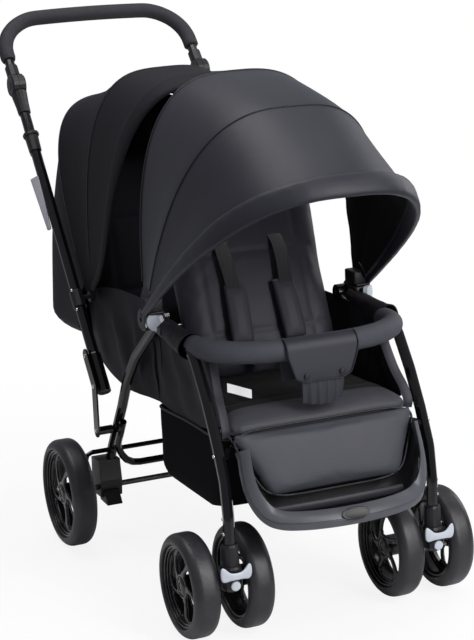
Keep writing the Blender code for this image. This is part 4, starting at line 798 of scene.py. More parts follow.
BUMPER_RUN = [(0.1660, 0.070, 0.4400), (0.1640, 0.048, 0.4400), (0.1575, 0.027, 0.4405)]
BUMPER_RUN += [(0.1430, 0.008, 0.4398), (0.1160, -0.009, 0.4385)]
BUMPER_RUN += [(0.0800, -0.020, 0.4380), (0.0380, -0.0255, 0.4375)]
bumper_line = evenly(flowing(mirrored(BUMPER_RUN, (0, -0.0265, 0.4375)), 10), 0.006)


def bumper_section(share):
    """The foam's round profile, a little uneven, with a faint mould line."""
    points = []
    for turn in turns(24):
        ripple = 0.0004 * noise.noise(Vector((share * 40.0, math.cos(turn) * 1.5, math.sin(turn) * 1.5)))
        radius = 0.0176 + ripple - 0.0006 * math.exp(-(((turn - 1.9) / 0.10) ** 2))
        points.append((radius * math.cos(turn), radius * math.sin(turn)))
    return points


bumper = made_piece("bumper_foam_bar", roll(bumper_line, bumper_section), BUMPER, "front_frame")
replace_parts(bumper, "bumper_bar")


FLAP_WRAP, FLAP_MIDDLE = 0.0186, (-0.026, 0.437)
FLAP_FRONT = [(-0.0450, 0.425), (-0.0455, 0.413), (-0.0455, 0.402)]
FLAP_FRONT += [(-0.0448, 0.394), (-0.0440, 0.389), (-0.0436, 0.3865)]


def flap_rows():
    """The crotch flap from behind the bumper, over it and down its front, narrowing towards its end."""
    rows, line = [], [(FLAP_MIDDLE[0] + FLAP_WRAP + 0.001, 0.385)]
    for k in range(15):
        turn = math.pi * k / 14
        line.append((FLAP_MIDDLE[0] + FLAP_WRAP * math.cos(turn),
                     FLAP_MIDDLE[1] + FLAP_WRAP * math.sin(turn)))
    for k, (y, z) in enumerate(line + FLAP_FRONT):
        drop = max(0.0, (0.432 - z) / 0.046) if k > 8 else max(0.0, (0.43 - z) / 0.12)
        half = 0.0600 - 0.016 * min(1.0, drop) - 0.020 * max(0.0, drop - 0.80) ** 2 / 0.04
        row = []
        for i in range(-12, 13):
            share = i / 12
            row.append(at(half * math.sin(math.pi / 2 * share), y,
                          z + 0.0015 * (1 - share**2) * (drop > 0.9)))
        rows.append(row)
    return rows


rows_of_flap = flap_rows()
flap = made_piece("crotch_flap_cloth", cloth_sheet(rows_of_flap, 0.0022, at(0, -0.026, 0.42)), [SEAT, SEAT],
                  "front_frame")
tail_rows = []
for k in range(15):
    share = k / 14
    y, z = -0.0418 + 0.006 * share**2, 0.392 - 0.038 * share
    tail_rows.append([])
    for i in range(-20, 21):
        u = i / 20
        gather = 0.0016 * math.sin(u * 15.0 + 0.8) * (0.4 + 0.6 * share)
        bow = (1 - u * u) * share
        tail_rows[-1].append(at(u * (0.036 - 0.002 * share), y + gather - 0.004 * bow, z - 0.006 * bow))
made_piece("crotch_flap_tail", cloth_sheet(tail_rows, 0.0024, at(0, 0.05, 0.37)), [SEAT, SEAT],
           "front_frame")
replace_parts(flap, "crotch_flap")
flap_edge = [row[0] for row in rows_of_flap[9:]] + rows_of_flap[-1][1:]
flap_edge += [row[-1] for row in rows_of_flap[-2:8:-1]]
flap_edge = [p + Vector((0, -0.0006, 0)) for p in flap_edge]
made_piece("crotch_flap_piping", roll(flap_edge, round_section(0.0014, 8)), PIPING, "front_frame")

SLEEVE_RUN = [(0.166, 0.4500), (0.146, 0.4480), (0.120, 0.4452), (0.092, 0.4422), (0.068, 0.4400)]


def sleeve(side, name):
    """The cloth sleeve buttoned round the arm, open at its front end."""
    path = evenly(flowing([at(side * (LEG_X - 0.003), y, z) for y, z in SLEEVE_RUN], 6), 0.004)
    axes = carried_axes(path)
    bm = bmesh.new()
    skins = []
    for thick in (0.0, 0.0018):
        skin = []
        for k, (point, (u, v)) in enumerate(zip(path, axes)):
            share = k / (len(path) - 1)
            radius = 0.0150 + 0.0040 * share + 0.0016 * max(0.0, share - 0.85) / 0.15 - thick
            loop = []
            for s in range(28):
                turn = math.tau * s / 28 + 0.2
                fold = 0.0009 * math.sin(3 * turn + share * 4.0)
                fold += 0.0008 * noise.noise(Vector((share * 5.0, turn * 1.4, side)))
                across, up = (radius + fold) * math.cos(turn), (radius * 1.06 + fold) * math.sin(turn)
                loop.append(bm.verts.new(point + u * across + v * up))
            skin.append(loop)
        skins.append(skin)
    for skin in skins:
        for a, b in zip(skin, skin[1:]):
            band(bm, a, b)
    band(bm, skins[0][0], skins[1][0])
    band(bm, skins[0][-1], skins[1][-1])
    bmesh.ops.recalc_face_normals(bm, faces=bm.faces)
    return made_piece("arm_sleeve_" + name, bm, [TUB_CLOTH], "front_frame", 70)


def side_wall(name, side, tops, bottoms, across=44, down=18):
    """The cloth side of a seat between an upper and a lower line, hung with a few folds."""
    upper, lower = (flowing([at(side * x, y, z) for x, y, z in line], 10) for line in (tops, bottoms))
    rows = []
    for j in range(down + 1):
        share = j / down
        row = []
        for i in range(across + 1):
            t = i / across
            p = upper[round(t * (len(upper) - 1))].lerp(lower[round(t * (len(lower) - 1))], share)
            fold = math.sin(t * 21.0 + share * 3.0) + 0.8 * noise.noise(p * 30.0)
            row.append(p + Vector((side * 0.0034 * math.sin(math.pi * share) * fold, 0, 0)))
        rows.append(row)
    return made_piece(name, cloth_sheet(rows, 0.0018, at(0, 0.3, 0.38)), [TUB_CLOTH, TUB_CLOTH],
                      "front_frame")


FRONT_SIDE_TOP = [(0.1490, 0.052, 0.430), (0.1590, 0.096, 0.440), (0.1620, 0.150, 0.446)]
FRONT_SIDE_TOP += [(0.1570, 0.215, 0.452), (0.1490, 0.286, 0.455)]
FRONT_SIDE_FOOT = [(0.1545, -0.006, 0.330), (0.1500, 0.050, 0.308), (0.1460, 0.130, 0.296)]
FRONT_SIDE_FOOT += [(0.1460, 0.210, 0.294), (0.1460, 0.286, 0.298)]
REAR_SIDE_TOP = [(0.1480, 0.282, 0.452), (0.1500, 0.330, 0.464), (0.1505, 0.385, 0.464)]
REAR_SIDE_TOP += [(0.1500, 0.460, 0.459), (0.1500, 0.540, 0.446), (0.1505, 0.600, 0.425)]
REAR_SIDE_FOOT = [(0.1460, 0.282, 0.298), (0.1462, 0.330, 0.294), (0.1462, 0.385, 0.288)]
REAR_SIDE_FOOT += [(0.1462, 0.440, 0.286), (0.1462, 0.520, 0.296), (0.1462, 0.602, 0.322)]
SIDE_TAPE_RUN = [(0.1470, 0.044, 0.428), (0.1485, 0.033, 0.404), (0.1520, 0.012, 0.370)]
SIDE_TAPE_RUN += [(0.1555, -0.010, 0.346), (0.1570, -0.021, 0.326), (0.1560, -0.020, 0.314)]
for side, name in SIDES:
    sleeve(side, name)
    side_wall("front_seat_side_" + name, side, FRONT_SIDE_TOP, FRONT_SIDE_FOOT)
    rear_wall = side_wall("rear_seat_side_" + name, side, REAR_SIDE_TOP, REAR_SIDE_FOOT)
    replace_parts(rear_wall, "rear_seat")
    strap = [at(side * x, y, z) for x, y, z in SIDE_TAPE_RUN]
    tape("seat_side_tape_" + name, strap, 0.015, 0.0016, "front_frame", Vector((1, -0.25 * side, 0)), SEAT)


# handle grip

HANDLE_LEAN = math.radians(48.7)
HANDLE_AXIS = Vector((0, math.cos(HANDLE_LEAN), math.sin(HANDLE_LEAN)))
SOCKET_END, HANDLE_TOP, HANDLE_BEND, HANDLE_ARCH, HANDLE_HALF = 0.0575, 0.150, 0.078, 0.0045, 0.150
GRIP_RADIUS = 0.0140
grip_points = []
for side, _ in SIDES:
    base = at(side * PUSH_X, *KNOB)
    run = [base + HANDLE_AXIS * SOCKET_END, base + HANDLE_AXIS * HANDLE_TOP]
    grip_points += run if side < 0 else run[::-1]
grip_line = evenly(rounded(grip_points, HANDLE_BEND, 16), 0.006)
grip_line = [p + HANDLE_AXIS * HANDLE_ARCH * max(0.0, 1 - (p.x / HANDLE_HALF) ** 2) for p in grip_line]


def grip_section(share):
    """The foam's round profile, drawn in at both ends."""
    radius = GRIP_RADIUS * min(1.0, 0.88 + min(share, 1 - share) * 12.0)
    return [(radius * math.cos(turn), radius * math.sin(turn)) for turn in turns(24)]


grip = made_piece("handle_grip_foam", roll(grip_line, grip_section), GRIP, "handle")
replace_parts(grip, "handle_foam")


# basket and back curtain

BASKET_HALF_X, BASKET_HALF_Y, BASKET_MIDDLE = 0.1478, 0.1420, 0.162
BASKET_LEVELS, BASKET_CORNERS = 16, 96


def basket_shell():
    """The cloth basket: one shell with slack walls, a stiff base and a hem round its mouth."""
    rows = []
    for j in range(BASKET_LEVELS + 1):
        share = j / BASKET_LEVELS
        row = []
        for k in range(BASKET_CORNERS + 1):
            turn = math.tau * k / BASKET_CORNERS
            cx, cy = signed_power(math.cos(turn), 0.20), signed_power(math.sin(turn), 0.20)
            lean = 0.006 * max(0.0, 1 - share * 5.0) ** 2
            slack = 0.0035 * math.sin(math.pi * share) * (1 - abs(cx * cy))
            x = (BASKET_HALF_X - lean + slack * abs(cx)) * cx
            y = BASKET_MIDDLE + (BASKET_HALF_Y - lean + slack * abs(cy)) * cy
            back = (y - BASKET_MIDDLE) / BASKET_HALF_Y
            top = 0.2950 - 0.008 * max(0.0, back) ** 1.2
            base = 0.1740 + 0.014 * max(0.0, -back - 0.55) / 0.45
            z = base + (top - base) * share
            stir = 0.0012 * noise.noise(Vector((x, y, z)) * 22.0) * math.sin(math.pi * share)
            row.append(at(x + stir * cx, y + stir * cy, z))
        rows.append(row)
    bm = bmesh.new()
    outer = [[bm.verts.new(p) for p in row[:-1]] for row in rows]
    middle = at(0, BASKET_MIDDLE, 0).y
    inner = []
    for row in rows:
        line = [(p.x * 0.985, (p.y - middle) * 0.985 + middle, max(p.z, 0.1765)) for p in row[:-1]]
        inner.append([bm.verts.new(p) for p in line])
    for skin in (outer, inner):
        for a, b in zip(skin, skin[1:]):
            band(bm, a, b)
        bm.faces.new(skin[0])
    band(bm, outer[-1], inner[-1])
    bmesh.ops.recalc_face_normals(bm, faces=bm.faces)
    return bm, rows


shell, basket_rows = basket_shell()
basket = made_piece("basket_cloth", shell, BASKET_CLOTH, "front_frame")
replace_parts(basket, "basket")
made_piece("basket_hem", roll(basket_rows[-1], round_section(0.0022, 8)), PIPING, "front_frame")


def curtain_line(share, steps=20):
    """One line down the cloth behind the rear backrest, from under the rear bow in to the backrest's foot."""
    bow = (REAR_BOWS[0][0], 0.3870, 0.1665, REAR_BOWS[0][3])
    top = bow_point(REAR_HUB, bow, turn_along(bow, 0.030, share))
    across = -signed_power(math.cos(math.pi * share), 0.26)
    behind = math.sin(math.pi * share) ** 0.26
    low = at(0.1680 * across, 0.6150 + 0.1940 * behind, 0.368)
    foot = at(-0.122 * math.cos(math.pi * share), 0.6130, 0.3412)
    line = []
    for k in range(steps):
        t = k / steps
        swing = math.sin(math.pi * t**0.8)
        fold = 0.0026 * math.sin(share * 26.0 + t * 2.5) * t
        fold += 0.0022 * noise.noise(Vector((share * 7.0, t * 3.0, 1.0)))
        line.append(top.lerp(low, t) + Vector((0.003 * swing * across, (0.022 * swing + fold) * behind, 0)))
    for k in range(9):
        turn = math.pi / 2 * k / 8
        p = low.lerp(foot, 1 - math.cos(turn))
        p.z = low.z + (foot.z - low.z) * math.sin(turn) - 0.010 * math.sin(2 * turn) * behind
        line.append(p)
    return line


curtain_lines = [curtain_line(i / 72) for i in range(73)]
curtain_rows = [list(row) for row in zip(*curtain_lines)]
curtain = made_piece("rear_back_curtain", cloth_sheet(curtain_rows, 0.0018, at(0, 0.60, 0.5)),
                     [BLACK, LINING], "rear_back")
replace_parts(curtain, "rear_backrest")


# small hard fittings


def fresh(piece, name, surface, body, place, crease=40.0):
    """Name a piece that was just modelled at the origin, put it in its place and let it ride."""
    piece.name = piece.data.name = name
    piece.data.materials.clear()
    piece.data.materials.append(surface)
    piece.data.transform(place)
    piece.data.shade_smooth()
    piece.data.set_sharp_from_angle(angle=math.radians(crease))
    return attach(piece, body)


def pick(wanted):
    """In edit mode, select only the faces for which wanted(face) holds."""
    bpy.ops.mesh.select_mode(type="FACE")
    bpy.ops.mesh.select_all(action="DESELECT")
    mesh = bmesh.from_edit_mesh(bpy.context.object.data)
    for face in mesh.faces:
        face.select_set(bool(wanted(face)))
    bmesh.update_edit_mesh(bpy.context.object.data)


def points_where(wanted):
    """In edit mode, select only the points for which wanted(place) holds."""
    bpy.ops.mesh.select_mode(type="VERT")
    bpy.ops.mesh.select_all(action="DESELECT")
    mesh = bmesh.from_edit_mesh(bpy.context.object.data)
    for vert in mesh.verts:
        vert.select_set(bool(wanted(vert.co)))
    mesh.select_flush_mode()
    bmesh.update_edit_mesh(bpy.context.object.data)


def thicken(piece, thick):
    """Give a sheet its thickness, half to each side."""
    wall = piece.modifiers.new("wall", "SOLIDIFY")
    wall.thickness, wall.offset = thick, 0.0
    bpy.ops.object.modifier_apply(modifier=wall.name)


def facing(axis):
    """Turn +Z to an axis."""
    return Vector((0, 0, 1)).rotation_difference(Vector(axis).normalized()).to_matrix().to_4x4()


def opened():
    """The primitive that was just added, its place and scale applied, open in edit mode."""
    bpy.ops.object.transform_apply(location=True, rotation=True, scale=True)
    bpy.ops.object.mode_set(mode="EDIT")
    return bpy.context.object


def stepped(steps):
    """In edit mode, inset the selected faces and lift them, once for each (inset, lift)."""
    for inset, lift in steps:
        bpy.ops.mesh.inset(thickness=inset)
        bpy.ops.transform.translate(value=(0, 0, lift))


def domed(name, radius, height, centre, axis, surface, body, segments=28):
    """A round head with a soft shoulder and a slightly domed face, standing on a point."""
    bpy.ops.object.select_all(action="DESELECT")
    bpy.ops.mesh.primitive_cylinder_add(vertices=segments, radius=radius, depth=height,
                                        location=(0, 0, height / 2))
    piece = opened()
    pick(lambda face: face.normal.z > 0.9)
    stepped(((radius * 0.14, height * 0.22), (radius * 0.26, height * 0.14),
             (radius * 0.34, height * 0.05)))
    bpy.ops.object.mode_set(mode="OBJECT")
    return fresh(piece, name, surface, body, Matrix.Translation(centre) @ facing(axis), 50)


def eased_block(name, size, centre, ease):
    """A moulded block of a clamp with eased edges."""
    bpy.ops.object.select_all(action="DESELECT")
    bpy.ops.mesh.primitive_cube_add(size=1.0)
    bpy.context.object.scale = size
    piece = opened()
    bpy.ops.mesh.select_all(action="SELECT")
    bpy.ops.mesh.bevel(offset=ease, segments=3, affect="EDGES")
    bpy.ops.object.mode_set(mode="OBJECT")
    return fresh(piece, name, PLASTIC, "front_frame", Matrix.Translation(centre))


def latch_strip():
    """The light grey strip of the fold latch, outside the right-hand push tube, narrowing downward."""
    bpy.ops.object.select_all(action="DESELECT")
    bpy.ops.mesh.primitive_cube_add(size=1.0)
    bpy.context.object.scale = (0.0040, 0.0190, 0.1100)
    piece = opened()
    pick(lambda face: face.normal.z < -0.9)
    bpy.ops.transform.resize(value=(1, 0.42, 1), center_override=(0, 0, 0))
    bpy.ops.mesh.select_all(action="SELECT")
    bpy.ops.mesh.bevel(offset=0.0016, segments=3, affect="EDGES")
    bpy.ops.object.mode_set(mode="OBJECT")
    lean = math.atan2(KNOB[0] - FOLD[0], KNOB[1] - FOLD[1])
    place = Matrix.Translation(at(-PUSH_X - 0.0135, 0.686, 0.582)) @ Matrix.Rotation(-lean, 4, "X")
    fresh(piece, "latch_strip", STRIP, "push_frame", place @ Matrix.Rotation(math.radians(42), 4, "Z"))


FLUTES = (-0.0050, 0.0, 0.0050)


def thumb_button(name, centre, turn):
    """The light grey release button of a clamp: a rounded shield with flutes pressed down its face."""
    bpy.ops.object.select_all(action="DESELECT")
    bpy.ops.mesh.primitive_cylinder_add(vertices=32, radius=0.0135, depth=0.0070,
                                        rotation=(math.radians(90), 0, 0))
    piece = opened()
    bpy.ops.mesh.select_all(action="SELECT")
    bpy.ops.mesh.bisect(plane_co=(0, 0, 0.0095), plane_no=(0, 0, 1), clear_outer=True, use_fill=True)
    pick(lambda face: face.normal.y < -0.9)
    bpy.ops.mesh.inset(thickness=0.0018)
    bpy.ops.transform.translate(value=(0, -0.0016, 0))
    for level in FLUTES:
        for edge in (level - 0.0011, level + 0.0011):
            bpy.ops.mesh.select_all(action="SELECT")
            bpy.ops.mesh.bisect(plane_co=(edge, 0, 0), plane_no=(1, 0, 0))
        pick(lambda face: face.normal.y < -0.9 and abs(face.calc_center_median().x - level) < 0.0009)
        bpy.ops.transform.translate(value=(0, 0.0016, 0))
    bpy.ops.mesh.select_all(action="SELECT")
    bpy.ops.transform.resize(value=(1, 1, 1.08), center_override=(0, 0, 0))
    bpy.ops.object.mode_set(mode="OBJECT")
    return fresh(piece, name, SILVER, "front_frame",
                 Matrix.Translation(centre) @ Matrix.Rotation(turn, 4, "Z"), 30)


RIVET_ROWS = (
    ("leg_rivet_%s_%d", "front_frame", 0.0026, 16, 0.1842,
     ((-0.0357, 0.2925), (-0.0585, 0.200), (-0.0592, 0.176))),
    ("push_rivet_%s_%d", "push_frame", 0.0026, 16, 0.1942, ((0.537, 0.4130), (0.560, 0.4430))),
    ("plate_rivet_%s_%d", "rear_frame", 0.0038, 18, 0.2013, ((0.4535, 0.2925), (0.4895, 0.3395))),
)
CLAMP_BLOCKS = (
    ("clamp_body_", (0.0270, 0.0400, 0.0240), (0.1830, 0.1930, 0.4600), 0.004),
    ("clamp_top_", (0.0240, 0.0360, 0.0235), (0.1820, 0.1960, 0.4850), 0.003),
    ("clamp_lip_", (0.0250, 0.0300, 0.0035), (0.1835, 0.1860, 0.4745), 0.0012),
)


def paired_fittings(side, name):
    """The rivets, clamp and caster cap of one side."""
    out = (side, 0, 0)
    for label, body, radius, segments, x, row in RIVET_ROWS:
        for number, (y, z) in enumerate(row):
            domed(label % (name, number), radius, 0.0016, at(side * x, y, z), out, RIVET, body, segments)
    domed("leg_bolt_" + name, 0.0045, 0.0018, at(side * 0.2013, 0.454, 0.2115), out, RIVET, "rear_frame",
          18)
    for label, size, (x, y, z), ease in CLAMP_BLOCKS:
        eased_block(label + name, size, at(side * x, y, z), ease)
    thumb_button("clamp_button_" + name, at(side * 0.1890, 0.1680, 0.4620), side * math.radians(45))
    domed("clamp_rivet_" + name, 0.0036, 0.0018, at(side * 0.1970, 0.1850, 0.4540), out, RIVET,
          "front_frame", 18)
    cap_place = at(side * LEG_X, -0.0752, 0.0975)
    domed("caster_cap_" + name, 0.0075, 0.0026, cap_place, (0, -1, 0), SILVER, "caster_" + name)


for side, name in SIDES:
    paired_fittings(side, name)
latch_strip()

LEVER_WIDTH = 0.0120
LEVER_STEPS = ((0.0050, 0.0006, 1.15), (0.0055, 0.0022, 1.55), (0.0055, 0.0022, 1.30),
               (0.0040, 0.0010, 0.62))


def swivel_lever(side, name):
    """The light grey lever over the caster: a plate that sweeps up and widens to two rounded lobes."""
    bpy.ops.object.select_all(action="DESELECT")
    bpy.ops.mesh.primitive_plane_add(size=LEVER_WIDTH, rotation=(math.radians(90), 0, 0))
    piece = opened()
    for end in (-1, 1):
        reach, height = LEVER_WIDTH / 2, 0.0
        for run, rise, grow in LEVER_STEPS:
            points_where(lambda p: abs(p.x - end * reach) < 1e-5)
            bpy.ops.mesh.extrude_edges_move(TRANSFORM_OT_translate={"value": (end * run, 0.0008, rise)})
            reach, height = reach + run, height + rise
            bpy.ops.transform.resize(value=(1, 1, grow), center_override=(end * reach, 0, height))
    bpy.ops.object.mode_set(mode="OBJECT")
    thicken(piece, 0.0050)
    soften(piece, 2)
    place = Matrix.Translation(at(side * LEG_X, -0.0830, 0.1150))
    lever = fresh(piece, "swivel_lever_" + name, SILVER, "lock_" + name, place, 60)
    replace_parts(lever, "swivel_lock_" + name)


for side, name in SIDES:
    swivel_lever(side, name)


TYRE_DEPTH = 0.017
SPOKES = 5


def turned_ring(low, high, bottom, top, inner_ease, outer_ease, steps=80):
    """A ring about +Z between two radii and two heights, with the corners of its section eased."""
    bpy.ops.object.select_all(action="DESELECT")
    middle, height = (low + high) / 2, (bottom + top) / 2
    bpy.ops.mesh.primitive_plane_add(size=1.0, location=(middle, 0, height),
                                     rotation=(math.radians(90), 0, 0))
    bpy.context.object.scale = (high - low, top - bottom, 1)
    ring = opened()
    points_where(lambda p: p.x > middle)
    bpy.ops.mesh.bevel(offset=outer_ease, segments=7, affect="VERTICES")
    points_where(lambda p: p.x < low + 1e-6)
    bpy.ops.mesh.bevel(offset=inner_ease, segments=3, affect="VERTICES")
    bpy.ops.mesh.select_all(action="SELECT")
    bpy.ops.mesh.delete(type="ONLY_FACE")
    bpy.ops.mesh.select_all(action="SELECT")
    bpy.ops.mesh.spin(steps=steps, angle=math.tau, center=(0, 0, 0), axis=(0, 0, 1), use_auto_merge=True)
    bpy.ops.mesh.select_all(action="SELECT")
    bpy.ops.mesh.remove_doubles(threshold=1e-5)
    bpy.ops.mesh.normals_make_consistent(inside=False)
    bpy.ops.object.mode_set(mode="OBJECT")
    return ring


def spoked_web(inner, outer, high, low, swirl):
    """The dished disc between hub and rim, its windows cut so that swept, flared spokes stay."""
    bpy.ops.object.select_all(action="DESELECT")
    cells, steps = SPOKES * 10, 8
    bpy.ops.mesh.primitive_circle_add(vertices=cells, radius=inner, fill_type="NOTHING",
                                      location=(0, 0, high))
    web = opened()
    bpy.ops.mesh.select_all(action="SELECT")
    for k in range(steps):
        grow = (inner + (outer - inner) * (k + 1) / steps) / (inner + (outer - inner) * k / steps)
        bpy.ops.mesh.extrude_edges_move(TRANSFORM_OT_translate={"value": (0, 0, (low - high) / steps)})
        bpy.ops.transform.resize(value=(grow, grow, 1), center_override=(0, 0, 0))
        bpy.ops.transform.rotate(value=swirl / steps, orient_axis="Z", center_override=(0, 0, 0))

    def in_window(face):
        place = face.calc_center_median()
        share = (place.xy.length - inner) / (outer - inner)
        turn = math.atan2(place.y, place.x) + swirl * share
        cell = (turn / math.tau * cells) % 10
        narrow = 1.0 if share < 0.24 or share > 0.78 else 0.0
        return 0.1 < share < 0.9 and 2.0 + narrow < cell < 10.0 - narrow

    pick(in_window)
    bpy.ops.mesh.delete(type="FACE")
    bpy.ops.object.mode_set(mode="OBJECT")
    thicken(web, 0.0050)
    soften(web, 2)
    return web


def wheel_hub(radius, bottom, top):
    """The hub in the middle of a wheel: a drum whose outer end is stepped up to a small cap."""
    bpy.ops.object.select_all(action="DESELECT")
    depth, height = top - bottom, (bottom + top) / 2
    bpy.ops.mesh.primitive_cylinder_add(vertices=48, radius=radius, depth=depth, location=(0, 0, height))
    hub = opened()
    pick(lambda face: face.normal.z > 0.9)
    stepped(((0.0030, 0.0025), (0.0050, 0.0025), (0.0022, 0.0), (0.0006, -0.0014), (0.0020, 0.0007)))
    bpy.ops.object.mode_set(mode="OBJECT")
    return hub


def wheel_patterns(radius):
    """One tyre and one rim of a wheel, lying at the origin with their outer side up."""
    edge = radius - TYRE_DEPTH
    tyre = turned_ring(edge + 0.0002, radius, -0.0220, 0.0220, 0.0030, 0.0140)
    barrel = turned_ring(edge - 0.0045, edge, -0.0175, 0.0175, 0.0018, 0.0012)
    lip = turned_ring(edge - 0.0075, edge - 0.0040, 0.0040, 0.0140, 0.0014, 0.0004)
    web = spoked_web(0.0150, edge - 0.0050, 0.0120, 0.0080, 0.60)
    hub = wheel_hub(0.0170, -0.0195, 0.0110)
    bpy.ops.object.select_all(action="DESELECT")
    for part in (lip, web, hub, barrel):
        part.select_set(True)
    bpy.context.view_layer.objects.active = barrel
    bpy.ops.object.join()
    return tyre, barrel


def fit_wheel(patterns, label, body, centre, outward, turn):
    """Copy a wheel's tyre and rim to their place on an axle."""
    place = Matrix.Translation(centre) @ facing((outward, 0, 0)) @ Matrix.Rotation(turn, 4, "Z")
    for pattern, part, surface in zip(patterns, ("tyre", "rim"), (RUBBER, GLOSS)):
        piece = bpy.data.objects.new(label + "_" + part, pattern.data.copy())
        bpy.context.scene.collection.objects.link(piece)
        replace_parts(fresh(piece, label + "_smooth_" + part, surface, body, place, 35.0), label + "_" + part)


FRONT_RADIUS, REAR_RADIUS = 0.0825, 0.0950
front_patterns, rear_patterns = wheel_patterns(FRONT_RADIUS), wheel_patterns(REAR_RADIUS)
for side, name in SIDES:
    for part, offset in (("outer", 1), ("inner", -1)):
        label, body = "front_%s_%s" % (name, part), "front_wheel_%s_%s" % (name, part)
        centre = at(side * (LEG_X + offset * 0.0450), 0, FRONT_RADIUS)
        fit_wheel(front_patterns, label, body, centre, side * offset, 0.35 * side)
    centre = at(side * 0.2425, 0.5, REAR_RADIUS)
    fit_wheel(rear_patterns, "rear_" + name, "rear_wheel_" + name, centre, side, 0.9)
for pattern in front_patterns + rear_patterns:
    bpy.data.objects.remove(pattern)


FOOTREST_EDGE = [(0.1520, -0.060, 0.302), (0.1530, -0.076, 0.264), (0.1490, -0.091, 0.233)]
FOOTREST_EDGE += [(0.1370, -0.107, 0.2105), (0.1180, -0.121, 0.2015), (0.0850, -0.134, 0.1990)]
FOOTREST_EDGE += [(0.0430, -0.143, 0.1985)]
FOOTREST_SECTION = [(0.0000, 0.0000), (0.0035, 0.0050), (0.0080, 0.0090), (0.0140, 0.0125)]
FOOTREST_SECTION += [(0.0160, 0.0132), (0.0176, 0.0125), (0.0182, 0.0105), (0.0186, -0.0090)]
FOOTREST_SECTION += [(0.0160, -0.0125), (0.0100, -0.0140), (0.0045, -0.0135), (0.0022, -0.0118)]
FOOTREST_SECTION += [(0.0008, -0.0040), (0.0016, -0.0014)]
STEP_RUN = [(0.112, -0.078, 0.2040), (0.060, -0.084, 0.2055)]


def rim_section(share):
    """The footrest's rim cut across: broad in front, narrower up its two arms."""
    arm = max(0.0, abs(2 * share - 1) - 0.52) / 0.48
    width = 0.94 - 0.40 * min(1.0, arm * 1.6)
    return [(p * width, q) for p, q in FOOTREST_SECTION]


def footrest():
    """The footrest: a moulded scoop with a broad rim whose arms rise to the legs, and its dark well."""
    line = flowing(mirrored(FOOTREST_EDGE, (0, -0.146, 0.1985)), 9)
    axes = []
    for k, point in enumerate(line):
        tangent = heading(line, k)
        inward = at(0, -0.030, 0) - Vector((point.x, point.y, 0))
        inward = (inward - tangent * inward.dot(tangent)).normalized()
        axes.append((inward, tangent.cross(inward).normalized()))
    rim = made_piece("footrest_rim", roll(line, rim_section, axes=axes), TRAY, "front_frame", 32)
    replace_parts(rim, "footrest_tray")
    rows = []
    for j in range(15):
        share = j / 14
        climb = max(0.0, (share - 0.45) / 0.55)
        row = []
        for i in range(41):
            across = -1 + i / 20
            front = -0.132 + 0.034 * abs(across) ** 2.6
            y = front + (-0.026 - front) * share
            side_top = 0.1990 + 0.098 * min(1.0, share / 0.5) ** 0.8
            floor_z = 0.1905 + 0.044 * (3 * climb**2 - 2 * climb**3)
            z = floor_z + (side_top - floor_z) * abs(across) ** 7
            row.append(at(across * (0.131 + 0.015 * min(1.0, share * 2.5)), y, z))
        rows.append(row)
    made_piece("footrest_well", cloth_sheet(rows, 0.0030, at(0, -0.08, -1.0)), [PLASTIC, PLASTIC],
               "front_frame")
    step = flowing(mirrored(STEP_RUN, (0, -0.086, 0.2060)), 10)
    made_piece("footrest_step", roll(step, round_section(0.0040, 16, 1.8)), TRAY_DARK, "front_frame")


def oval_badge():
    """A plain dark oval plate on the front of the footrest's rim."""
    bpy.ops.object.select_all(action="DESELECT")
    bpy.ops.mesh.primitive_cylinder_add(vertices=40, radius=0.0098, depth=0.0020)
    piece = opened()
    pick(lambda face: face.normal.z > 0.9)
    stepped(((0.0010, 0.0005), (0.0008, -0.0004)))
    bpy.ops.mesh.select_all(action="SELECT")
    bpy.ops.transform.resize(value=(2.35, 1, 1), center_override=(0, 0, 0))
    bpy.ops.object.mode_set(mode="OBJECT")
    place = Matrix.Translation(at(-0.003, -0.1440, 0.2030)) @ Matrix.Rotation(math.radians(56), 4, "X")
    return fresh(piece, "footrest_badge", PLASTIC, "front_frame", place, 40)


footrest()
oval_badge()


def hood_gather(side, name):
    """The foot of the front hood, where its cloth is gathered in folds over the hub."""
    rows = []
    for j in range(13):
        share = j / 12
        reach = 0.056 - 0.048 * share
        row = []
        for i in range(37):
            turn = math.radians(87.0 + 56.0 * i / 36)
            fold = 0.0022 * math.sin(i * 1.05 + 0.8 * share) * (0.35 + 0.65 * share)
            fold += 0.0012 * noise.noise(Vector((i * 0.35, share * 3.0, side)))
            bulge = 0.0045 * math.sin(math.pi * min(1.0, share * 1.2))
            x = 0.1868 + 0.0085 * share**0.5 + bulge * share + fold * (0.3 + 0.7 * share)
            y, z = FRONT_HUB[0] + reach * math.cos(turn), FRONT_HUB[1] + reach * math.sin(turn)
            row.append(at(side * x, y, z))
        rows.append(row)
    made_piece("hood_gather_" + name, cloth_sheet(rows, 0.0016, at(0, *FRONT_HUB)), [HOOD, LINING],
               "front_canopy")


for side, name in SIDES:
    hood_gather(side, name)

for x, number in ((-0.029, 0), (0.031, 1)):
    domed("flap_snap_%d" % number, 0.0048, 0.0016, at(x, -0.0462, 0.397), (0, -1, 0.05), PIPING,
          "front_frame", 24)

tag_rows = []
for j in range(5):
    row = []
    for i in range(9):
        y, z = -0.0185 + 0.0012 * math.sin(i * 0.8), 0.3980 - 0.0140 * j / 4 - 0.0160 * i / 8
        row.append(at(-0.150 + 0.040 * i / 8, y, z))
    tag_rows.append(row)
made_piece("side_tag", cloth_sheet(tag_rows, 0.0005, at(0, 0.2, 0.4)), [TAG, TAG], "front_frame")


# finishes of the frame's own pieces

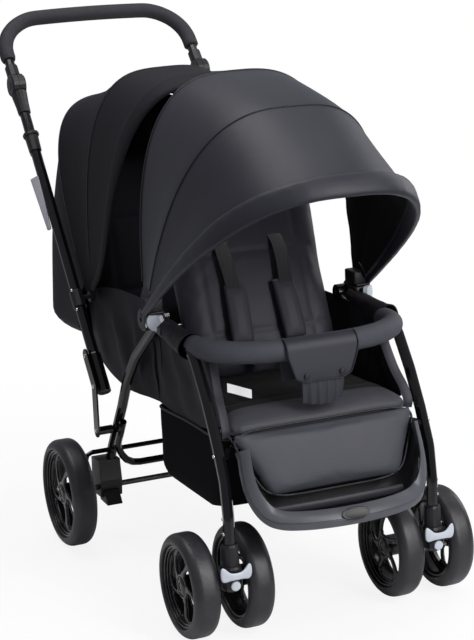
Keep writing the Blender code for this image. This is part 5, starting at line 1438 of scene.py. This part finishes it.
COATS = (
    ("front_leg_", PAINT), ("rear_leg_", PAINT), ("fold_plate_", PAINT), ("push_tube_", PAINT),
    ("rear_cross_tube", PAINT), ("brake_bar", PAINT), ("handle_tube", PAINT), ("seat_frame", PAINT),
    ("footrest_tray", TRAY), ("rear_axle", STEEL), ("swivel_lock_", SILVER),
)
for node_name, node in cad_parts.items():
    coat = PLASTIC
    for start, surface in COATS:
        if node_name.startswith(start):
            coat = surface
    if node_name.endswith("_tyre"):
        coat = RUBBER
    if node_name.endswith("_rim"):
        coat = GLOSS
    for slot in node.material_slots:
        slot.material = coat


# floor, light and camera

bpy.ops.object.select_all(action="DESELECT")
bpy.ops.mesh.primitive_plane_add(size=24.0, location=(0, 0, -0.0005))
floor = bpy.context.object
floor.name = "studio_floor"
paper = Finish("studio_paper", (0.97, 0.97, 0.97), 0.9, Specular_IOR_Level=0.1)
reach = paper.add("ShaderNodeVectorMath", {"operation": "LENGTH"}, {0: paper.here()}, 1)
bright = paper.nodes.new("ShaderNodeEmission")
seen_white = paper.nodes.new("ShaderNodeMixShader")
ray = paper.nodes.new("ShaderNodeLightPath")
wide = paper.nodes.new("ShaderNodeBsdfTransparent")
edge_fade = paper.nodes.new("ShaderNodeMixShader")
PAPER_WHITE, FADE_REACH, FADE_RATE = 0.87, 1.30, 1.2
paper.feed(seen_white, {0: Reading(paper, ray.outputs["Is Camera Ray"]) * PAPER_WHITE})
paper.links.new(paper.shader.outputs[0], seen_white.inputs[1])
paper.links.new(bright.outputs[0], seen_white.inputs[2])
paper.feed(edge_fade, {0: ((FADE_REACH - reach) * FADE_RATE).kept()})
paper.links.new(wide.outputs[0], edge_fade.inputs[1])
paper.links.new(seen_white.outputs[0], edge_fade.inputs[2])
paper.links.new(edge_fade.outputs[0], paper.nodes["Material Output"].inputs["Surface"])
floor.data.materials.append(paper.made)

world = bpy.data.worlds.new("studio_air")
bpy.context.scene.world = world
world.use_nodes = True
air = world.node_tree
air.nodes.clear()
rays = air.nodes.new("ShaderNodeLightPath")
seen = air.nodes.new("ShaderNodeBackground")
lit = air.nodes.new("ShaderNodeBackground")
either = air.nodes.new("ShaderNodeMixShader")
ends = air.nodes.new("ShaderNodeOutputWorld")
seen.inputs["Color"].default_value, seen.inputs["Strength"].default_value = (1, 1, 1, 1), 1.0
lit.inputs["Color"].default_value, lit.inputs["Strength"].default_value = (0.93, 0.95, 1.0, 1), 0.30
most = air.nodes.new("ShaderNodeMath")
most.operation = "MAXIMUM"
air.links.new(rays.outputs["Is Camera Ray"], most.inputs[0])
air.links.new(rays.outputs["Is Transmission Ray"], most.inputs[1])
air.links.new(most.outputs[0], either.inputs[0])
air.links.new(lit.outputs[0], either.inputs[1])
air.links.new(seen.outputs[0], either.inputs[2])
air.links.new(either.outputs[0], ends.inputs["Surface"])


def softbox(name, place, target, width, height, watts, colour=(1, 1, 1)):
    """A lamp behind a rectangular white cloth, turned to a target."""
    lamp = bpy.data.lights.new(name, "AREA")
    lamp.shape, lamp.size, lamp.size_y = "RECTANGLE", width, height
    lamp.energy, lamp.color = watts, colour
    box = bpy.data.objects.new(name, lamp)
    bpy.context.scene.collection.objects.link(box)
    box.location = place
    box.rotation_euler = (Vector(target) - Vector(place)).to_track_quat("-Z", "Y").to_euler()


softbox("key_softbox", (1.5, -2.6, 2.1), (0, -0.1, 0.5), 1.3, 1.5, 32)
softbox("left_softbox", (-2.4, -1.2, 1.5), (0, 0, 0.5), 1.2, 1.8, 1.0, (0.93, 0.96, 1.0))
softbox("front_strip", (0.72, -2.6, 1.7), (0, -0.3, 0.45), 0.06, 3.6, 46)
softbox("top_softbox", (-0.2, 0.3, 2.9), (0, 0, 0.5), 1.8, 1.8, 34)
softbox("right_softbox", (2.2, 0.4, 1.4), (0, 0, 0.5), 1.0, 1.8, 16)

CAMERA_PLACE = at(-1.2276, -2.5670, 1.1374)
CAMERA_LENS, CAMERA_SENSOR = 106.76, 36.0
azimuth, elevation, turned = math.radians(-23.3192), math.radians(13.0673), math.radians(-2.5795)
back = Vector((math.sin(azimuth) * math.cos(elevation), -math.cos(azimuth) * math.cos(elevation),
               math.sin(elevation)))
level = Vector((math.cos(azimuth), math.sin(azimuth), 0))
upright = level.cross(-back)
right = math.cos(turned) * level + math.sin(turned) * upright
up = -math.sin(turned) * level + math.cos(turned) * upright
camera = bpy.data.objects.new("camera", bpy.data.cameras.new("camera"))
bpy.context.scene.collection.objects.link(camera)
camera.matrix_world = Matrix.Translation(CAMERA_PLACE) @ Matrix((right, up, back)).transposed().to_4x4()
camera.data.lens, camera.data.sensor_width = CAMERA_LENS, CAMERA_SENSOR
camera.data.clip_end = 60.0
bpy.context.scene.camera = camera
bpy.context.scene.view_settings.view_transform = "Standard"
